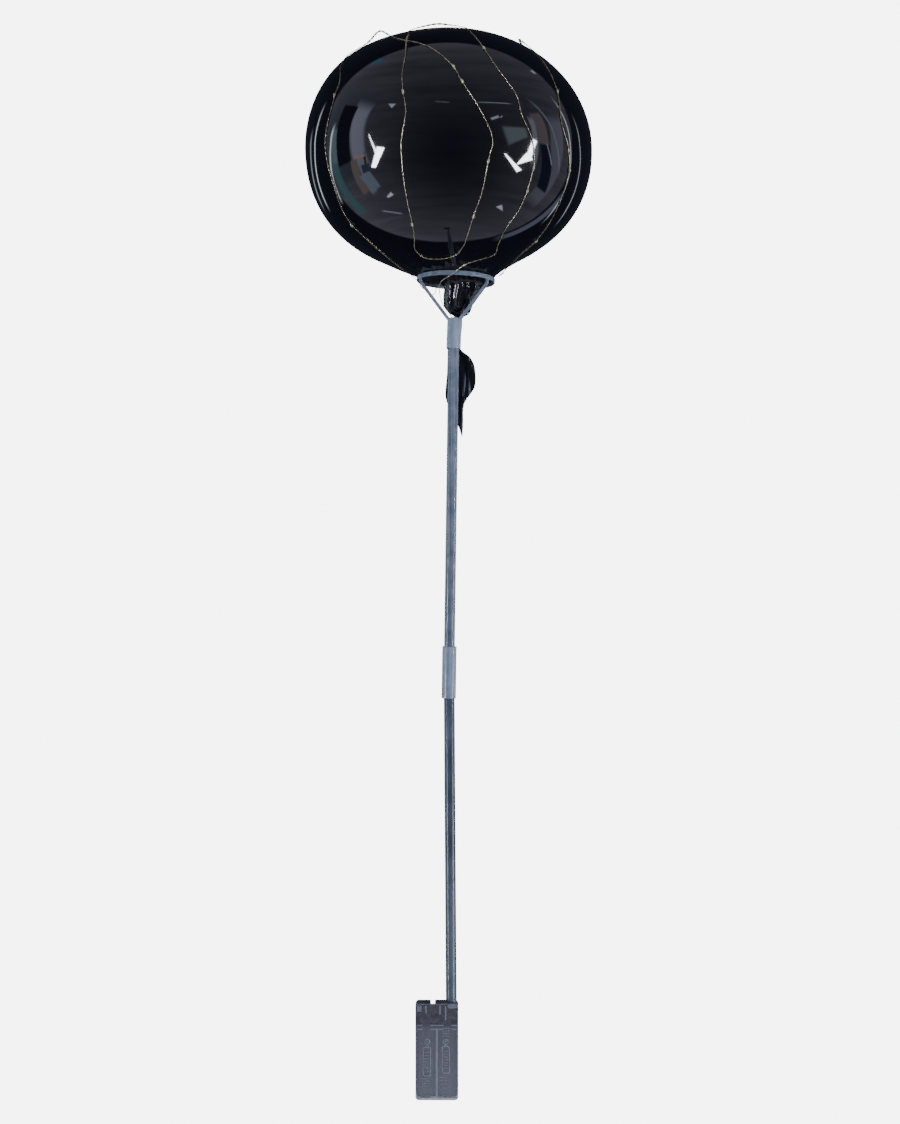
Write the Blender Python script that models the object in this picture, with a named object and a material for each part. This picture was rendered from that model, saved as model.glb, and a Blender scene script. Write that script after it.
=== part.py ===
"""A bubble balloon with a string of small lamps, on a clear stick with a battery box.

The film balloon sits in a three-legged cup. The cup is pushed on a tube in two lengths, which a sleeve joins.
A flat battery box with a lid in its back is the foot of the stick. One lamp string runs from the box up the
tube and lies in eight strands over the balloon.

Everything is modelled standing: +Z up the stick, +X to the right and -Y to the front. At the end the whole
object is laid down on its back, so that the box's lower back edge and a small flat spot on the balloon rest
on the ground at z = 0.
"""
import math

import bmesh
import bpy
import numpy as np
from mathutils import Matrix, Vector

# Gap between pieces that touch, and how far a piece that is fused reaches into its neighbour
GAP = 0.0003
BITE = 0.0005

# Battery box: a tray that is open at the back, with a lid over its back
BOX_WIDTH = 0.0352
BOX_LENGTH = 0.0790
BOX_DEPTH = 0.0178
BOX_CORNER = 0.0028
BOX_EDGE = 0.0007
BOX_WALL = 0.0015
BOX_FOOT_WALL = 0.0018
BOX_TOP_WALL = 0.0016
NOTCH_WIDTH = 0.0034
NOTCH_DEPTH = 0.0042
NOTCH_OFFSET = -0.0033
LID_THICKNESS = 0.0016
LID_RAIL_WIDTH = 0.0011
LID_RAIL_HEIGHT = 0.0018
LID_RAIL_LENGTH = 0.056
GRIP_COUNT = 4
GRIP_PITCH = 0.0026
GRIP_WIDTH = 0.0012
GRIP_DEPTH = 0.0005
GRIP_LENGTH = 0.014
GRIP_FROM_TOP = 0.012

# Inside the box: two bays side by side, each for one cell, and a space for the circuit above them
BAY_FLOOR = 0.0033
BAY_LENGTH = 0.0544
DIVIDER_WIDTH = 0.0016
DIVIDER_HEIGHT = 0.0105
SLOT_RIB = 0.0009
SLOT_WIDTH = 0.0022
SLOT_RIB_HEIGHT = 0.0120
SIDE_RIB_LENGTH = 0.0042
MIDDLE_RIB_LENGTH = 0.0108
CORNER_POST_WIDTH = 0.0036
CORNER_POST_LENGTH = 0.0060
GUIDE_WIDTH = 0.0013
GUIDE_HEIGHT = 0.0070
# Guides that hang from the top wall into the circuit space: place across the box, and length
TOP_GUIDES = ((-0.0088, 0.0062), (0.0026, 0.0072), (0.0072, 0.0120))

# Tube in two lengths
TUBE_DIAMETER = 0.0090
TUBE_WALL = 0.0008
LOWER_TUBE_LENGTH = 0.2724
UPPER_TUBE_LENGTH = 0.2714
JOINT_SPACE = 0.0010
LOWER_LEAN = math.radians(-0.39)
UPPER_LEAN = math.radians(0.80)

# Where the tube stands in the box: a boss under the top wall, with a round recess and a hollow stub in it
RECESS_DEPTH = 0.0034
RECESS_FIT = 0.00035
RECESS_WALL = 0.0009
BOSS_FLOOR = 0.0012
STUB_FIT = 0.00035
STUB_LENGTH = 0.0217
STUB_WALL = 0.0010

# Sleeve over the joint between the two lengths
SLEEVE_LENGTH = 0.0426
SLEEVE_WALL = 0.0008
SLEEVE_FIT = 0.00065
SLEEVE_BELOW_JOINT = 0.0205

# Cup: a socket on the tube, three legs and a ring
SOCKET_LENGTH = 0.0254
SOCKET_WALL = 0.00105
SOCKET_FIT = 0.0004
SOCKET_GRIP = 0.0066
CUP_HEIGHT = 0.0317
CUP_LEAN = math.radians(1.90)
CUP_TIP = math.radians(3.90)
RING_DIAMETER = 0.0644
RING_THICKNESS = 0.0015
RING_HEIGHT = 0.0037
LEG_COUNT = 3
LEG_FIRST_AZIMUTH = 54.5
LEG_WIDTH = 0.0030
LEG_THICKNESS = 0.0021
LEG_DROP = 0.0050

# Balloon: body of revolution that stands upright in the tipped cup, with its own lean, over the ring's centre
BODY_RADIUS = 0.1173
BODY_TOP = 0.0990
BODY_BOTTOM = 0.0987
TOP_POWER = 2.0
BOTTOM_POWER = 2.15
SEAT_RISE = 0.0058
BODY_SHIFT = -0.0090
BODY_LEAN = math.radians(-3.22)
# Fuller left shoulder: height as a share of the radius, how wide it spreads, and where it points
SHOULDER_SHARE = 0.056
SHOULDER_SPREAD = 0.12
SHOULDER_POINTS = (-0.75, 0.0, 0.66)
# Throat: from this polar angle the film runs straight down to the ring
THROAT_POLAR = 144.0
THROAT_PULL = 0.72
FLAT_SPOT_DEPTH = 0.0017

# Where the film leaves the ring's wall, over the ring's middle, so that the wall's far side shows under it
MOUTH_DROP = 0.0006
# Gathered neck, as shares: height under the ring as a share of the cup's height, then the section's centre
# and half sizes as shares of the clear radius inside the ring
NECK_ROWS = (
    (0.028, 0.050, 0.012, 0.780, 0.780),
    (0.075, 0.130, 0.028, 0.620, 0.600),
    (0.130, 0.175, 0.033, 0.560, 0.525),
    (0.24, 0.20, 0.035, 0.53, 0.485),
    (0.40, 0.14, 0.06, 0.48, 0.44),
    (0.56, 0.10, 0.085, 0.42, 0.385),
    (0.72, 0.093, 0.10, 0.38, 0.30),
    (0.87, 0.125, 0.080, 0.27, 0.095),
)
NECK_FOLDS = 8
NECK_FOLD_SHARE = 0.10
# Film led past the socket: height under the socket's top as a share of its length, azimuth, half width
# and half thickness
PASS_ROWS = (
    (-0.05, 137.0, 0.0022, 0.0012),
    (0.08, 142.0, 0.0024, 0.0011),
    (0.28, 154.0, 0.0036, 0.0011),
    (0.62, 170.0, 0.0046, 0.0010),
    (0.94, 176.0, 0.0054, 0.0010),
)
# Free tail: height under the socket's foot, left edge, right edge and half thickness
TAIL_ROWS = (
    (0.0045, -0.0050, 0.0135, 0.0010),
    (0.0094, -0.0050, 0.0168, 0.0011),
    (0.0143, -0.0050, 0.0184, 0.0011),
    (0.0217, -0.0050, 0.0193, 0.0010),
    (0.0291, -0.0054, 0.0188, 0.0010),
    (0.0340, -0.0057, 0.0163, 0.0010),
    (0.0389, -0.0053, 0.0130, 0.0009),
    (0.0440, -0.0036, 0.0106, 0.0009),
    (0.0492, -0.0005, 0.0098, 0.0008),
    (0.0586, 0.0044, 0.0101, 0.0007),
    (0.0652, 0.0073, 0.0100, 0.0005),
    (0.0706, 0.0090, 0.0097, 0.0003),
)

# Lamp string
WIRE_DIAMETER = 0.0008
LAMP_DIAMETER = 0.0028
LAMP_LENGTH = 0.0052
FILM_CLEARANCE = 0.0005
WIRE_STEP = 0.0118
CUP_WIRE_STEP = 0.0042
TUBE_WIRE_STEP = 0.0210
WIRE_WAVE = 0.0016
WIRE_WAVE_PITCH = 0.105
# Inside the box: from the circuit space to the stub, seen from the foot of the tube's axis
BOX_RUN = ((-0.0100, 0.0010, 0.0655), (-0.0050, 0.0005, 0.0668), (-0.0012, 0.0, 0.0705), (0.0, 0.0, 0.0765))
# Height over the foot of the one lamp inside the tube
TUBE_LAMP = 0.150
# Points in the cup, seen from the ring's centre: up from the socket, under the ring's front and over it
CUP_RUN = (
    (0.0, 0.0, -0.0400),
    (-0.0004, -0.0004, -0.0345),
    (-0.0032, -0.0026, -0.0298),
    (-0.0078, -0.0052, -0.0250),
    (-0.0112, -0.0082, -0.0190),
    (-0.0130, -0.0130, -0.0120),
    (-0.0124, -0.0205, -0.0066),
    (-0.0090, -0.0278, -0.0046),
    (-0.0052, -0.0322, -0.0032),
    (-0.0010, -0.0336, -0.0002),
)
# The turn inside the cup at the left, behind the left leg, between the fourth strand and the fifth
SIDE_RUN = (
    (-0.0312, 0.0130, 0.0005),
    (-0.0282, 0.0158, -0.0034),
    (-0.0240, 0.0168, -0.0066),
    (-0.0198, 0.0160, -0.0096),
    (-0.0176, 0.0192, -0.0084),
    (-0.0166, 0.0245, -0.0054),
    (-0.0164, 0.0279, -0.0034),
    (-0.0162, 0.0304, 0.0005),
)
# Points on the balloon: azimuth from the front to the right and polar angle from the top, in degrees (the
# throat runs from THROAT_POLAR to 180 at the ring), lift over the film in millimetres, and 1 for a lamp
FRONT_STRANDS = (
    (8.5, 170, 0.6, 0), (13, 165.5, 0.2, 1), (26, 159.5, 0, 0), (39, 151.5, 0, 0), (34, 141.5, 0, 0),
    (31.5, 132.5, 0, 0), (34, 121.5, 0, 0), (34.5, 114, 0, 1), (35, 104.5, 0, 1), (33.5, 95, 0, 0), (29, 86, 0, 0),
    (27.5, 77.5, 0, 0), (22, 66, 0, 0), (19, 53.5, 0, 1), (18, 37, 0, 0), (19, 25, 0.4, 0), (5, 20, 1.2, 0),
    (-12, 20, 2.2, 0), (-31, 25, 1.0, 0), (-35, 30, 0.4, 0), (-27.5, 38, 1.0, 0), (-23.5, 46.5, 1.8, 0),
    (-20.5, 57, 0.3, 0), (-19.5, 68, 0, 0), (-18, 76, 0, 1), (-16.5, 84.5, 0, 0), (-18.5, 95.5, 0, 0),
    (-19, 105, 0, 0), (-19.5, 117, 0, 0), (-20.5, 129, 0, 1), (-23.5, 137.5, 0, 0), (-28.5, 146, 0, 0),
    (-24.5, 154.5, 0.3, 0), (-9.5, 156.5, 0.5, 0), (3.5, 152.5, 0.3, 0), (8.5, 143.5, 0, 0), (9.5, 138, 0, 0),
    (11, 126.5, 0, 1), (13.5, 116, 0, 0), (15, 103.5, 0, 1), (16.5, 95.5, 0, 0), (12.5, 85.5, 0, 0),
    (5.5, 72.5, 0, 1), (2.5, 65.5, 0, 1), (-5.5, 55.5, 0, 0), (-15.5, 48.5, 0, 0), (-30, 42.5, 0, 0),
    (-50, 34, 0.3, 0), (-66, 29.5, 0.8, 1), (-74, 31, 6.0, 0), (-82, 36.5, 1.4, 0), (-76, 46, 0.1, 0),
    (-56.5, 63, 0, 0),
    (-53.5, 72.5, 0, 1), (-54.5, 82.5, 0, 0), (-56.5, 92, 0, 0), (-56, 100.5, 0, 0), (-56, 110, 0, 0),
    (-58, 118, 0, 0), (-58.5, 125, 0, 1), (-58, 134, 0, 0), (-61.5, 144.5, 0, 0), (-71.5, 157, 0, 0),
    (-86, 170, 0.5, 0),
)
BACK_STRANDS = (
    (-153, 172, 0.6, 0), (-152, 160, 0.3, 0), (-150, 146, 0, 1), (-152, 132, 0, 0), (-154, 117, 0, 0),
    (-153, 101, 0, 1), (-152, 84, 0, 0), (-155, 68, 0, 0), (-160, 52, 0, 1), (-170, 38, 0.6, 0),
    (-184, 30, 2.6, 0), (-198, 36, 0.8, 0), (-203, 50, 0, 0), (-204, 66, 0, 1), (-202, 82, 0, 0),
    (-203, 98, 0, 0), (-204, 114, 0, 1), (-205, 130, 0, 0), (-208, 145, 0, 0), (-216, 158, 0.4, 0),
    (-230, 163, 0.6, 1), (-243, 156, 0.3, 0), (-248, 143, 0, 0), (-249, 128, 0, 0), (-246, 113, 0, 1),
    (-248, 98, 0, 0), (-251, 83, 0, 0), (-253, 68, 0, 1), (-257, 52, 0, 0), (-268, 39, 0.7, 0),
    (-284, 35, 2.2, 1), (-298, 44, 0.6, 0), (-305, 58, 0, 0), (-309, 73, 0, 1), (-311, 86, 0, 0),
    (-307, 95, 0, 0), (-304, 104, 0, 1), (-303, 113, 0, 0), (-301, 123, 0, 0), (-296, 136, 0, 1),
    (-288, 148, 0, 0), (-276, 158, 0.2, 0), (-263, 166, 0.6, 1), (-256, 169, 1.2, 0),
)

# How finely round shapes are faceted
TURN_STEPS = 24
RING_STEPS = 32
BODY_SEGMENTS = 40
BODY_ROWS = 22
THROAT_ROWS = 4
SAMPLES_BETWEEN_POINTS = 8

# Sizes that follow from the ones above
TUBE_RADIUS = TUBE_DIAMETER / 2
TUBE_BORE = TUBE_RADIUS - TUBE_WALL
SOCKET_BORE = TUBE_RADIUS + SOCKET_FIT
SOCKET_RADIUS = SOCKET_BORE + SOCKET_WALL
SLEEVE_BORE = TUBE_RADIUS + SLEEVE_FIT
STUB_RADIUS = TUBE_BORE - STUB_FIT
STUB_BORE = STUB_RADIUS - STUB_WALL
RECESS_RADIUS = TUBE_RADIUS + RECESS_FIT
RECESS_FLOOR = BOX_LENGTH - RECESS_DEPTH
RING_RADIUS = RING_DIAMETER / 2
RING_BORE = RING_RADIUS - RING_THICKNESS
BOX_CENTRE = RECESS_RADIUS + RECESS_WALL - BOX_WIDTH / 2
BAY_TOP = BAY_FLOOR + BAY_LENGTH
LID_FRONT = BOX_DEPTH / 2 - LID_THICKNESS
CASE_BACK = LID_FRONT - GAP


def material(name, colour, roughness, metallic=0.0, alpha=1.0):
    """A plain Principled material."""
    made = bpy.data.materials.new(name)
    made.use_nodes = True
    shader = made.node_tree.nodes["Principled BSDF"]
    shader.inputs["Base Color"].default_value = (*colour, 1.0)
    shader.inputs["Roughness"].default_value = roughness
    shader.inputs["Metallic"].default_value = metallic
    shader.inputs["Alpha"].default_value = alpha
    made.diffuse_color = (*colour, alpha)
    return made


def empty(name, place=(0.0, 0.0, 0.0), lean=0.0, tip=0.0, parent=None):
    """A frame at a place, leaning to the right and tipping to the back by two angles."""
    made = bpy.data.objects.new(name, None)
    made.location = place
    made.rotation_euler = (-tip, lean, 0.0)
    made.parent = parent
    bpy.context.collection.objects.link(made)
    return made


def add_object(name, data, parent, look=None):
    """Links a new object for a mesh or curve, under its frame."""
    made = bpy.data.objects.new(name, data)
    made.parent = parent
    if look:
        data.materials.append(look)
    bpy.context.collection.objects.link(made)
    return made


def mesh_of(name, vertices, faces, smooth_below=None):
    """A mesh from vertices and faces, smooth across edges under an angle."""
    mesh = bpy.data.meshes.new(name)
    mesh.from_pydata([tuple(v) for v in vertices], [], faces)
    mesh.validate()
    if smooth_below:
        mesh.shade_smooth()
        mesh.set_sharp_from_angle(angle=smooth_below)
    return mesh


def guide(thing):
    """Marks an object as a tool for Booleans, not a piece."""
    thing.hide_render = True
    thing.display_type = "WIRE"
    return thing


def boolean(thing, tool, operation):
    """Adds an exact Boolean to an object."""
    step = thing.modifiers.new(f"{operation.lower()} {tool.name}", "BOOLEAN")
    step.operation = operation
    step.solver = "EXACT"
    step.object = tool


def block(name, low, high, parent):
    """A box between two corners, as a Boolean tool."""
    bm = bmesh.new()
    bmesh.ops.create_cube(bm, size=1.0)
    low, high = Vector(low), Vector(high)
    size = high - low
    bmesh.ops.scale(bm, vec=size, verts=bm.verts)
    bmesh.ops.translate(bm, vec=(low + high) / 2, verts=bm.verts)
    mesh = bpy.data.meshes.new(name)
    bm.to_mesh(mesh)
    bm.free()
    return guide(add_object(name, mesh, parent))


def turned(name, profile, steps, parent, look=None):
    """A ring-shaped solid: a closed profile of (radius, height) points, outer side first from the top down."""
    count = len(profile)
    mesh = bpy.data.meshes.new(name)
    mesh.from_pydata([(r, 0.0, z) for r, z in profile], [(i, (i + 1) % count) for i in range(count)], [])
    made = add_object(name, mesh, parent, look)
    screw = made.modifiers.new("turn", "SCREW")
    screw.axis = "Z"
    screw.angle = 2 * math.pi
    screw.steps = screw.render_steps = steps
    screw.use_merge_vertices = True
    screw.merge_threshold = 0.00001
    screw.use_smooth_shade = True
    return made


def tube_profile(outer, inner, low, high):
    """The closed profile of a plain tube."""
    return ((outer, high), (outer, low), (inner, low), (inner, high))


def rod(name, radius, low, high, parent):
    """A round bar, as a Boolean tool."""
    bm = bmesh.new()
    place = Matrix.Translation((0.0, 0.0, (low + high) / 2))
    bmesh.ops.create_cone(bm, cap_ends=True, segments=TURN_STEPS, radius1=radius, radius2=radius,
                          depth=high - low, matrix=place)
    mesh = bpy.data.meshes.new(name)
    bm.to_mesh(mesh)
    bm.free()
    return guide(add_object(name, mesh, parent))


def rounded_plate(name, front, back, parent, look):
    """The box's outline with round corners, extruded from a front to a back, with a small edge bevel."""
    corner_steps = 4
    outline = []
    corners = ((1, 1), (-1, 1), (-1, -1), (1, -1))
    for turn, (sx, sz) in enumerate(corners):
        cx = BOX_CENTRE + sx * (BOX_WIDTH / 2 - BOX_CORNER)
        cz = BOX_LENGTH / 2 + sz * (BOX_LENGTH / 2 - BOX_CORNER)
        for step in range(corner_steps + 1):
            angle = math.pi / 2 * (turn + step / corner_steps)
            outline.append((cx + BOX_CORNER * math.cos(angle), cz + BOX_CORNER * math.sin(angle)))
    bm = bmesh.new()
    face = bm.faces.new([bm.verts.new((x, front, z)) for x, z in outline])
    pulled = bmesh.ops.extrude_face_region(bm, geom=[face])
    moved = [part for part in pulled["geom"] if isinstance(part, bmesh.types.BMVert)]
    bmesh.ops.translate(bm, vec=(0.0, back - front, 0.0), verts=moved)
    bmesh.ops.recalc_face_normals(bm, faces=bm.faces)
    mesh = bpy.data.meshes.new(name)
    bm.to_mesh(mesh)
    bm.free()
    made = add_object(name, mesh, parent, look)
    bevel = made.modifiers.new("edge", "BEVEL")
    bevel.width = BOX_EDGE
    bevel.segments = 2
    bevel.limit_method = "ANGLE"
    bevel.angle_limit = math.radians(60)
    return made


def slot_ribs(height):
    """Low and high corners of three short ribs across the box at a height: at each side and in the middle."""
    half_inside = BOX_WIDTH / 2 - BOX_WALL
    spans = (
        (-half_inside - BITE, -half_inside + SIDE_RIB_LENGTH),
        (-MIDDLE_RIB_LENGTH / 2, MIDDLE_RIB_LENGTH / 2),
        (half_inside - SIDE_RIB_LENGTH, half_inside + BITE),
    )
    front = -BOX_DEPTH / 2 + BOX_WALL
    for left, right in spans:
        low = (BOX_CENTRE + left, front - BITE, height)
        high = (BOX_CENTRE + right, front + SLOT_RIB_HEIGHT, height + SLOT_RIB)
        yield low, high


def notch_block(name, parent):
    """What the notch takes out of the box's top, from behind the front wall through to the back."""
    middle = BOX_CENTRE + NOTCH_OFFSET
    return block(name, (middle - NOTCH_WIDTH / 2, BOX_WALL - BOX_DEPTH / 2, BOX_LENGTH - NOTCH_DEPTH),
                 (middle + NOTCH_WIDTH / 2, BOX_DEPTH, BOX_LENGTH + BITE), parent)


def build_case(parent, look):
    """The box's tray with its bays, ribs, notch and the stub that the tube stands on."""
    case = rounded_plate("battery_case", -BOX_DEPTH / 2, CASE_BACK, parent, look)
    front = -BOX_DEPTH / 2 + BOX_WALL
    half_inside = BOX_WIDTH / 2 - BOX_WALL
    chamber_top = BOX_LENGTH - BOX_TOP_WALL
    hollow = block("case_hollow", (BOX_CENTRE - half_inside, front, BOX_FOOT_WALL),
                   (BOX_CENTRE + half_inside, BOX_DEPTH, chamber_top), parent)
    boolean(case, hollow, "DIFFERENCE")
    ribs = [((BOX_CENTRE - DIVIDER_WIDTH / 2, front - BITE, BOX_FOOT_WALL - BITE),
             (BOX_CENTRE + DIVIDER_WIDTH / 2, front + DIVIDER_HEIGHT, BAY_TOP + BITE))]
    for height in (BAY_FLOOR - SLOT_RIB, BAY_TOP, BAY_TOP + SLOT_RIB + SLOT_WIDTH):
        ribs.extend(slot_ribs(height))
    ribs.append(((BOX_CENTRE - half_inside - BITE, front - BITE, chamber_top - CORNER_POST_LENGTH),
                 (BOX_CENTRE - half_inside + CORNER_POST_WIDTH, front + GUIDE_HEIGHT, chamber_top + BITE)))
    for place, length in TOP_GUIDES:
        ribs.append(((BOX_CENTRE + place - GUIDE_WIDTH / 2, front - BITE, chamber_top - length),
                     (BOX_CENTRE + place + GUIDE_WIDTH / 2, front + GUIDE_HEIGHT, chamber_top + BITE)))
    for number, (low, high) in enumerate(ribs):
        boolean(case, block(f"case_rib_{number}", low, high, parent), "UNION")
    boolean(case, notch_block("case_notch", parent), "DIFFERENCE")
    boss = rod("case_boss", RECESS_RADIUS + RECESS_WALL / 2, RECESS_FLOOR - BOSS_FLOOR, BOX_LENGTH - BITE, parent)
    boolean(case, boss, "UNION")
    recess = rod("case_recess", RECESS_RADIUS, RECESS_FLOOR, BOX_LENGTH + BITE, parent)
    boolean(case, recess, "DIFFERENCE")
    stub = rod("case_stub", STUB_RADIUS, RECESS_FLOOR - BITE, RECESS_FLOOR + STUB_LENGTH, parent)
    boolean(case, stub, "UNION")
    bore = rod("case_bore", STUB_BORE, RECESS_FLOOR - BOSS_FLOOR - BITE, RECESS_FLOOR + STUB_LENGTH + BITE, parent)
    boolean(case, bore, "DIFFERENCE")
    return case


def build_lid(parent, look):
    """The plate over the box's back, with two rails inside the tray's walls and grip grooves outside."""
    lid = rounded_plate("battery_lid", LID_FRONT, BOX_DEPTH / 2, parent, look)
    rail_edge = BOX_WIDTH / 2 - BOX_WALL - GAP
    for side in (-1, 1):
        edges = sorted((BOX_CENTRE + side * rail_edge, BOX_CENTRE + side * (rail_edge - LID_RAIL_WIDTH)))
        middle = (BAY_FLOOR + BAY_TOP) / 2
        # the rails stay between the ribs at both ends of the bays
        half = min(LID_RAIL_LENGTH, BAY_LENGTH - 2 * GAP) / 2
        rail = block(f"lid_rail_{side}", (edges[0], LID_FRONT - LID_RAIL_HEIGHT, middle - half),
                     (edges[1], LID_FRONT + BITE, middle + half), parent)
        boolean(lid, rail, "UNION")
    for number in range(GRIP_COUNT):
        height = BOX_LENGTH - GRIP_FROM_TOP - number * GRIP_PITCH
        groove = block(f"lid_grip_{number}", (BOX_CENTRE - GRIP_LENGTH / 2, BOX_DEPTH / 2 - GRIP_DEPTH, height),
                       (BOX_CENTRE + GRIP_LENGTH / 2, BOX_DEPTH, height + GRIP_WIDTH), parent)
        boolean(lid, groove, "DIFFERENCE")
    boolean(lid, notch_block("lid_notch", parent), "DIFFERENCE")
    return lid


def build_leg(number, parent):
    """One leg of the cup: a flat bar straight down from the ring, then slanting to the socket's rim."""
    ring_middle = RING_RADIUS - RING_THICKNESS / 2
    half = LEG_THICKNESS / 2
    top = (ring_middle, RING_HEIGHT / 2 - BITE)
    knee = (ring_middle, -LEG_DROP)
    foot = (SOCKET_RADIUS - SOCKET_WALL / 3, -CUP_HEIGHT - LEG_THICKNESS / 2)
    slant = math.atan2(knee[0] - foot[0], knee[1] - foot[1])
    mitre = half * math.tan(slant / 2)
    across = (half * math.cos(slant), -half * math.sin(slant))
    thin = RING_THICKNESS / 2 - GAP / 2
    side = (
        (top[0] + thin, top[1]),
        (knee[0] + thin, knee[1] - mitre),
        (foot[0] + across[0], foot[1] + across[1]),
        (foot[0] - across[0], foot[1] - across[1]),
        (knee[0] - thin, knee[1] + mitre),
        (top[0] - thin, top[1]),
    )
    azimuth = math.radians(LEG_FIRST_AZIMUTH + number * 360 / LEG_COUNT)
    outward = Vector((math.sin(azimuth), -math.cos(azimuth), 0.0))
    along = Vector((math.cos(azimuth), math.sin(azimuth), 0.0))
    bm = bmesh.new()
    corners = [outward * r + Vector((0.0, 0.0, z)) - along * (LEG_WIDTH / 2) for r, z in side]
    face = bm.faces.new([bm.verts.new(corner) for corner in corners])
    pulled = bmesh.ops.extrude_face_region(bm, geom=[face])
    moved = [part for part in pulled["geom"] if isinstance(part, bmesh.types.BMVert)]
    bmesh.ops.translate(bm, vec=along * LEG_WIDTH, verts=moved)
    bmesh.ops.recalc_face_normals(bm, faces=bm.faces)
    mesh = bpy.data.meshes.new(f"cup_leg_{number}")
    bm.to_mesh(mesh)
    bm.free()
    return guide(add_object(f"cup_leg_{number}", mesh, parent))


def build_cup(parent, look):
    """Socket, ring and legs of the cup as one moulding, seen from the ring's centre."""
    foot = -CUP_HEIGHT - SOCKET_LENGTH
    cup = turned("balloon_cup", tube_profile(SOCKET_RADIUS, SOCKET_BORE, foot, -CUP_HEIGHT), TURN_STEPS,
                 parent, look)
    band = turned("cup_ring", tube_profile(RING_RADIUS, RING_BORE, -RING_HEIGHT / 2, RING_HEIGHT / 2),
                  RING_STEPS, parent)
    boolean(cup, guide(band), "UNION")
    for number in range(LEG_COUNT):
        boolean(cup, build_leg(number, parent), "UNION")
    return cup


def body_point(azimuth, polar):
    """Points of the bare body in the cup's frame: a turned oval of two powers with a fuller shoulder."""
    outward = np.stack([np.sin(azimuth), -np.cos(azimuth)])
    across, up = np.sin(polar), np.cos(polar)
    power = np.where(up > 0, TOP_POWER, BOTTOM_POWER)
    height = np.where(up > 0, BODY_TOP, BODY_BOTTOM)
    reach = ((across / BODY_RADIUS) ** power + (np.abs(up) / height) ** power) ** (-1 / power)
    points_at = np.array(SHOULDER_POINTS) / np.linalg.norm(SHOULDER_POINTS)
    towards = across * (outward[0] * points_at[0] + outward[1] * points_at[1]) + up * points_at[2]
    reach = reach * (1 + SHOULDER_SHARE * np.exp((towards - 1) / SHOULDER_SPREAD))
    x, y, z = reach * across * outward[0], reach * across * outward[1], reach * up
    lean_x = x * math.cos(BODY_LEAN) + z * math.sin(BODY_LEAN)
    lean_z = z * math.cos(BODY_LEAN) - x * math.sin(BODY_LEAN)
    return untipped(np.stack([lean_x + BODY_SHIFT, y, lean_z + BODY_BOTTOM + SEAT_RISE], axis=-1))


def untipped(points):
    """Points of an upright frame at the ring's centre, as the tipped cup sees them."""
    x, y, z = points[..., 0], points[..., 1], points[..., 2]
    return np.stack([x, y * math.cos(CUP_TIP) - z * math.sin(CUP_TIP),
                     z * math.cos(CUP_TIP) + y * math.sin(CUP_TIP)], axis=-1)


def mouth_point(azimuth):
    """Points just inside the ring's upper edge, where the film turns down into the cup."""
    clear = RING_BORE - GAP
    height = np.full_like(azimuth, RING_HEIGHT / 2 + GAP)
    return np.stack([clear * np.sin(azimuth), -clear * np.cos(azimuth), height], axis=-1)


def film_point(azimuth, polar):
    """Points on the film, in radians: the body down to the throat, then a bent line to the ring's mouth."""
    azimuth, polar = np.broadcast_arrays(np.asarray(azimuth, float), np.asarray(polar, float))
    start = math.radians(THROAT_POLAR)
    on_body = body_point(azimuth, np.minimum(polar, start))
    share = np.clip((polar - start) / (math.pi - start), 0.0, 1.0)[..., None]
    edge = body_point(azimuth, np.full_like(azimuth, start))
    before = body_point(azimuth, np.full_like(azimuth, start - 0.02))
    run = edge - before
    run = run / np.linalg.norm(run, axis=-1, keepdims=True)
    mouth = mouth_point(azimuth)
    bend = edge + run * THROAT_PULL * np.linalg.norm(mouth - edge, axis=-1, keepdims=True)
    throat = (1 - share) ** 2 * edge + 2 * share * (1 - share) * bend + share ** 2 * mouth
    return np.where(share > 0, throat, on_body)


def film_normal(azimuth, polar):
    """Outward unit normals of the film, from small steps either way."""
    step = 0.004
    polar = np.clip(polar, 0.02, math.pi - step)
    down = film_point(azimuth, polar + step) - film_point(azimuth, polar - step)
    around = film_point(azimuth + step, polar) - film_point(azimuth - step, polar)
    normal = np.cross(around, down)
    normal = normal / np.linalg.norm(normal, axis=-1, keepdims=True)
    outward = film_point(azimuth, polar) - untipped(np.array([BODY_SHIFT, 0.0, BODY_BOTTOM + SEAT_RISE]))
    flip = np.sign(np.sum(normal * outward, axis=-1, keepdims=True))
    return normal * flip


def section(angles, centre_x, centre_y, height, half_width, half_depth, turn=0.0, folds=0.0):
    """One closed row of the neck or tail: an oval with gathers cut into it."""
    size = 1 - folds * (0.5 + 0.5 * np.cos(NECK_FOLDS * angles))
    x = half_width * size * np.sin(angles)
    y = -half_depth * size * np.cos(angles)
    turned_x = x * math.cos(turn) + y * math.sin(turn)
    turned_y = y * math.cos(turn) - x * math.sin(turn)
    return np.stack([centre_x + turned_x, centre_y + turned_y, np.full_like(angles, height)], axis=-1)


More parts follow.
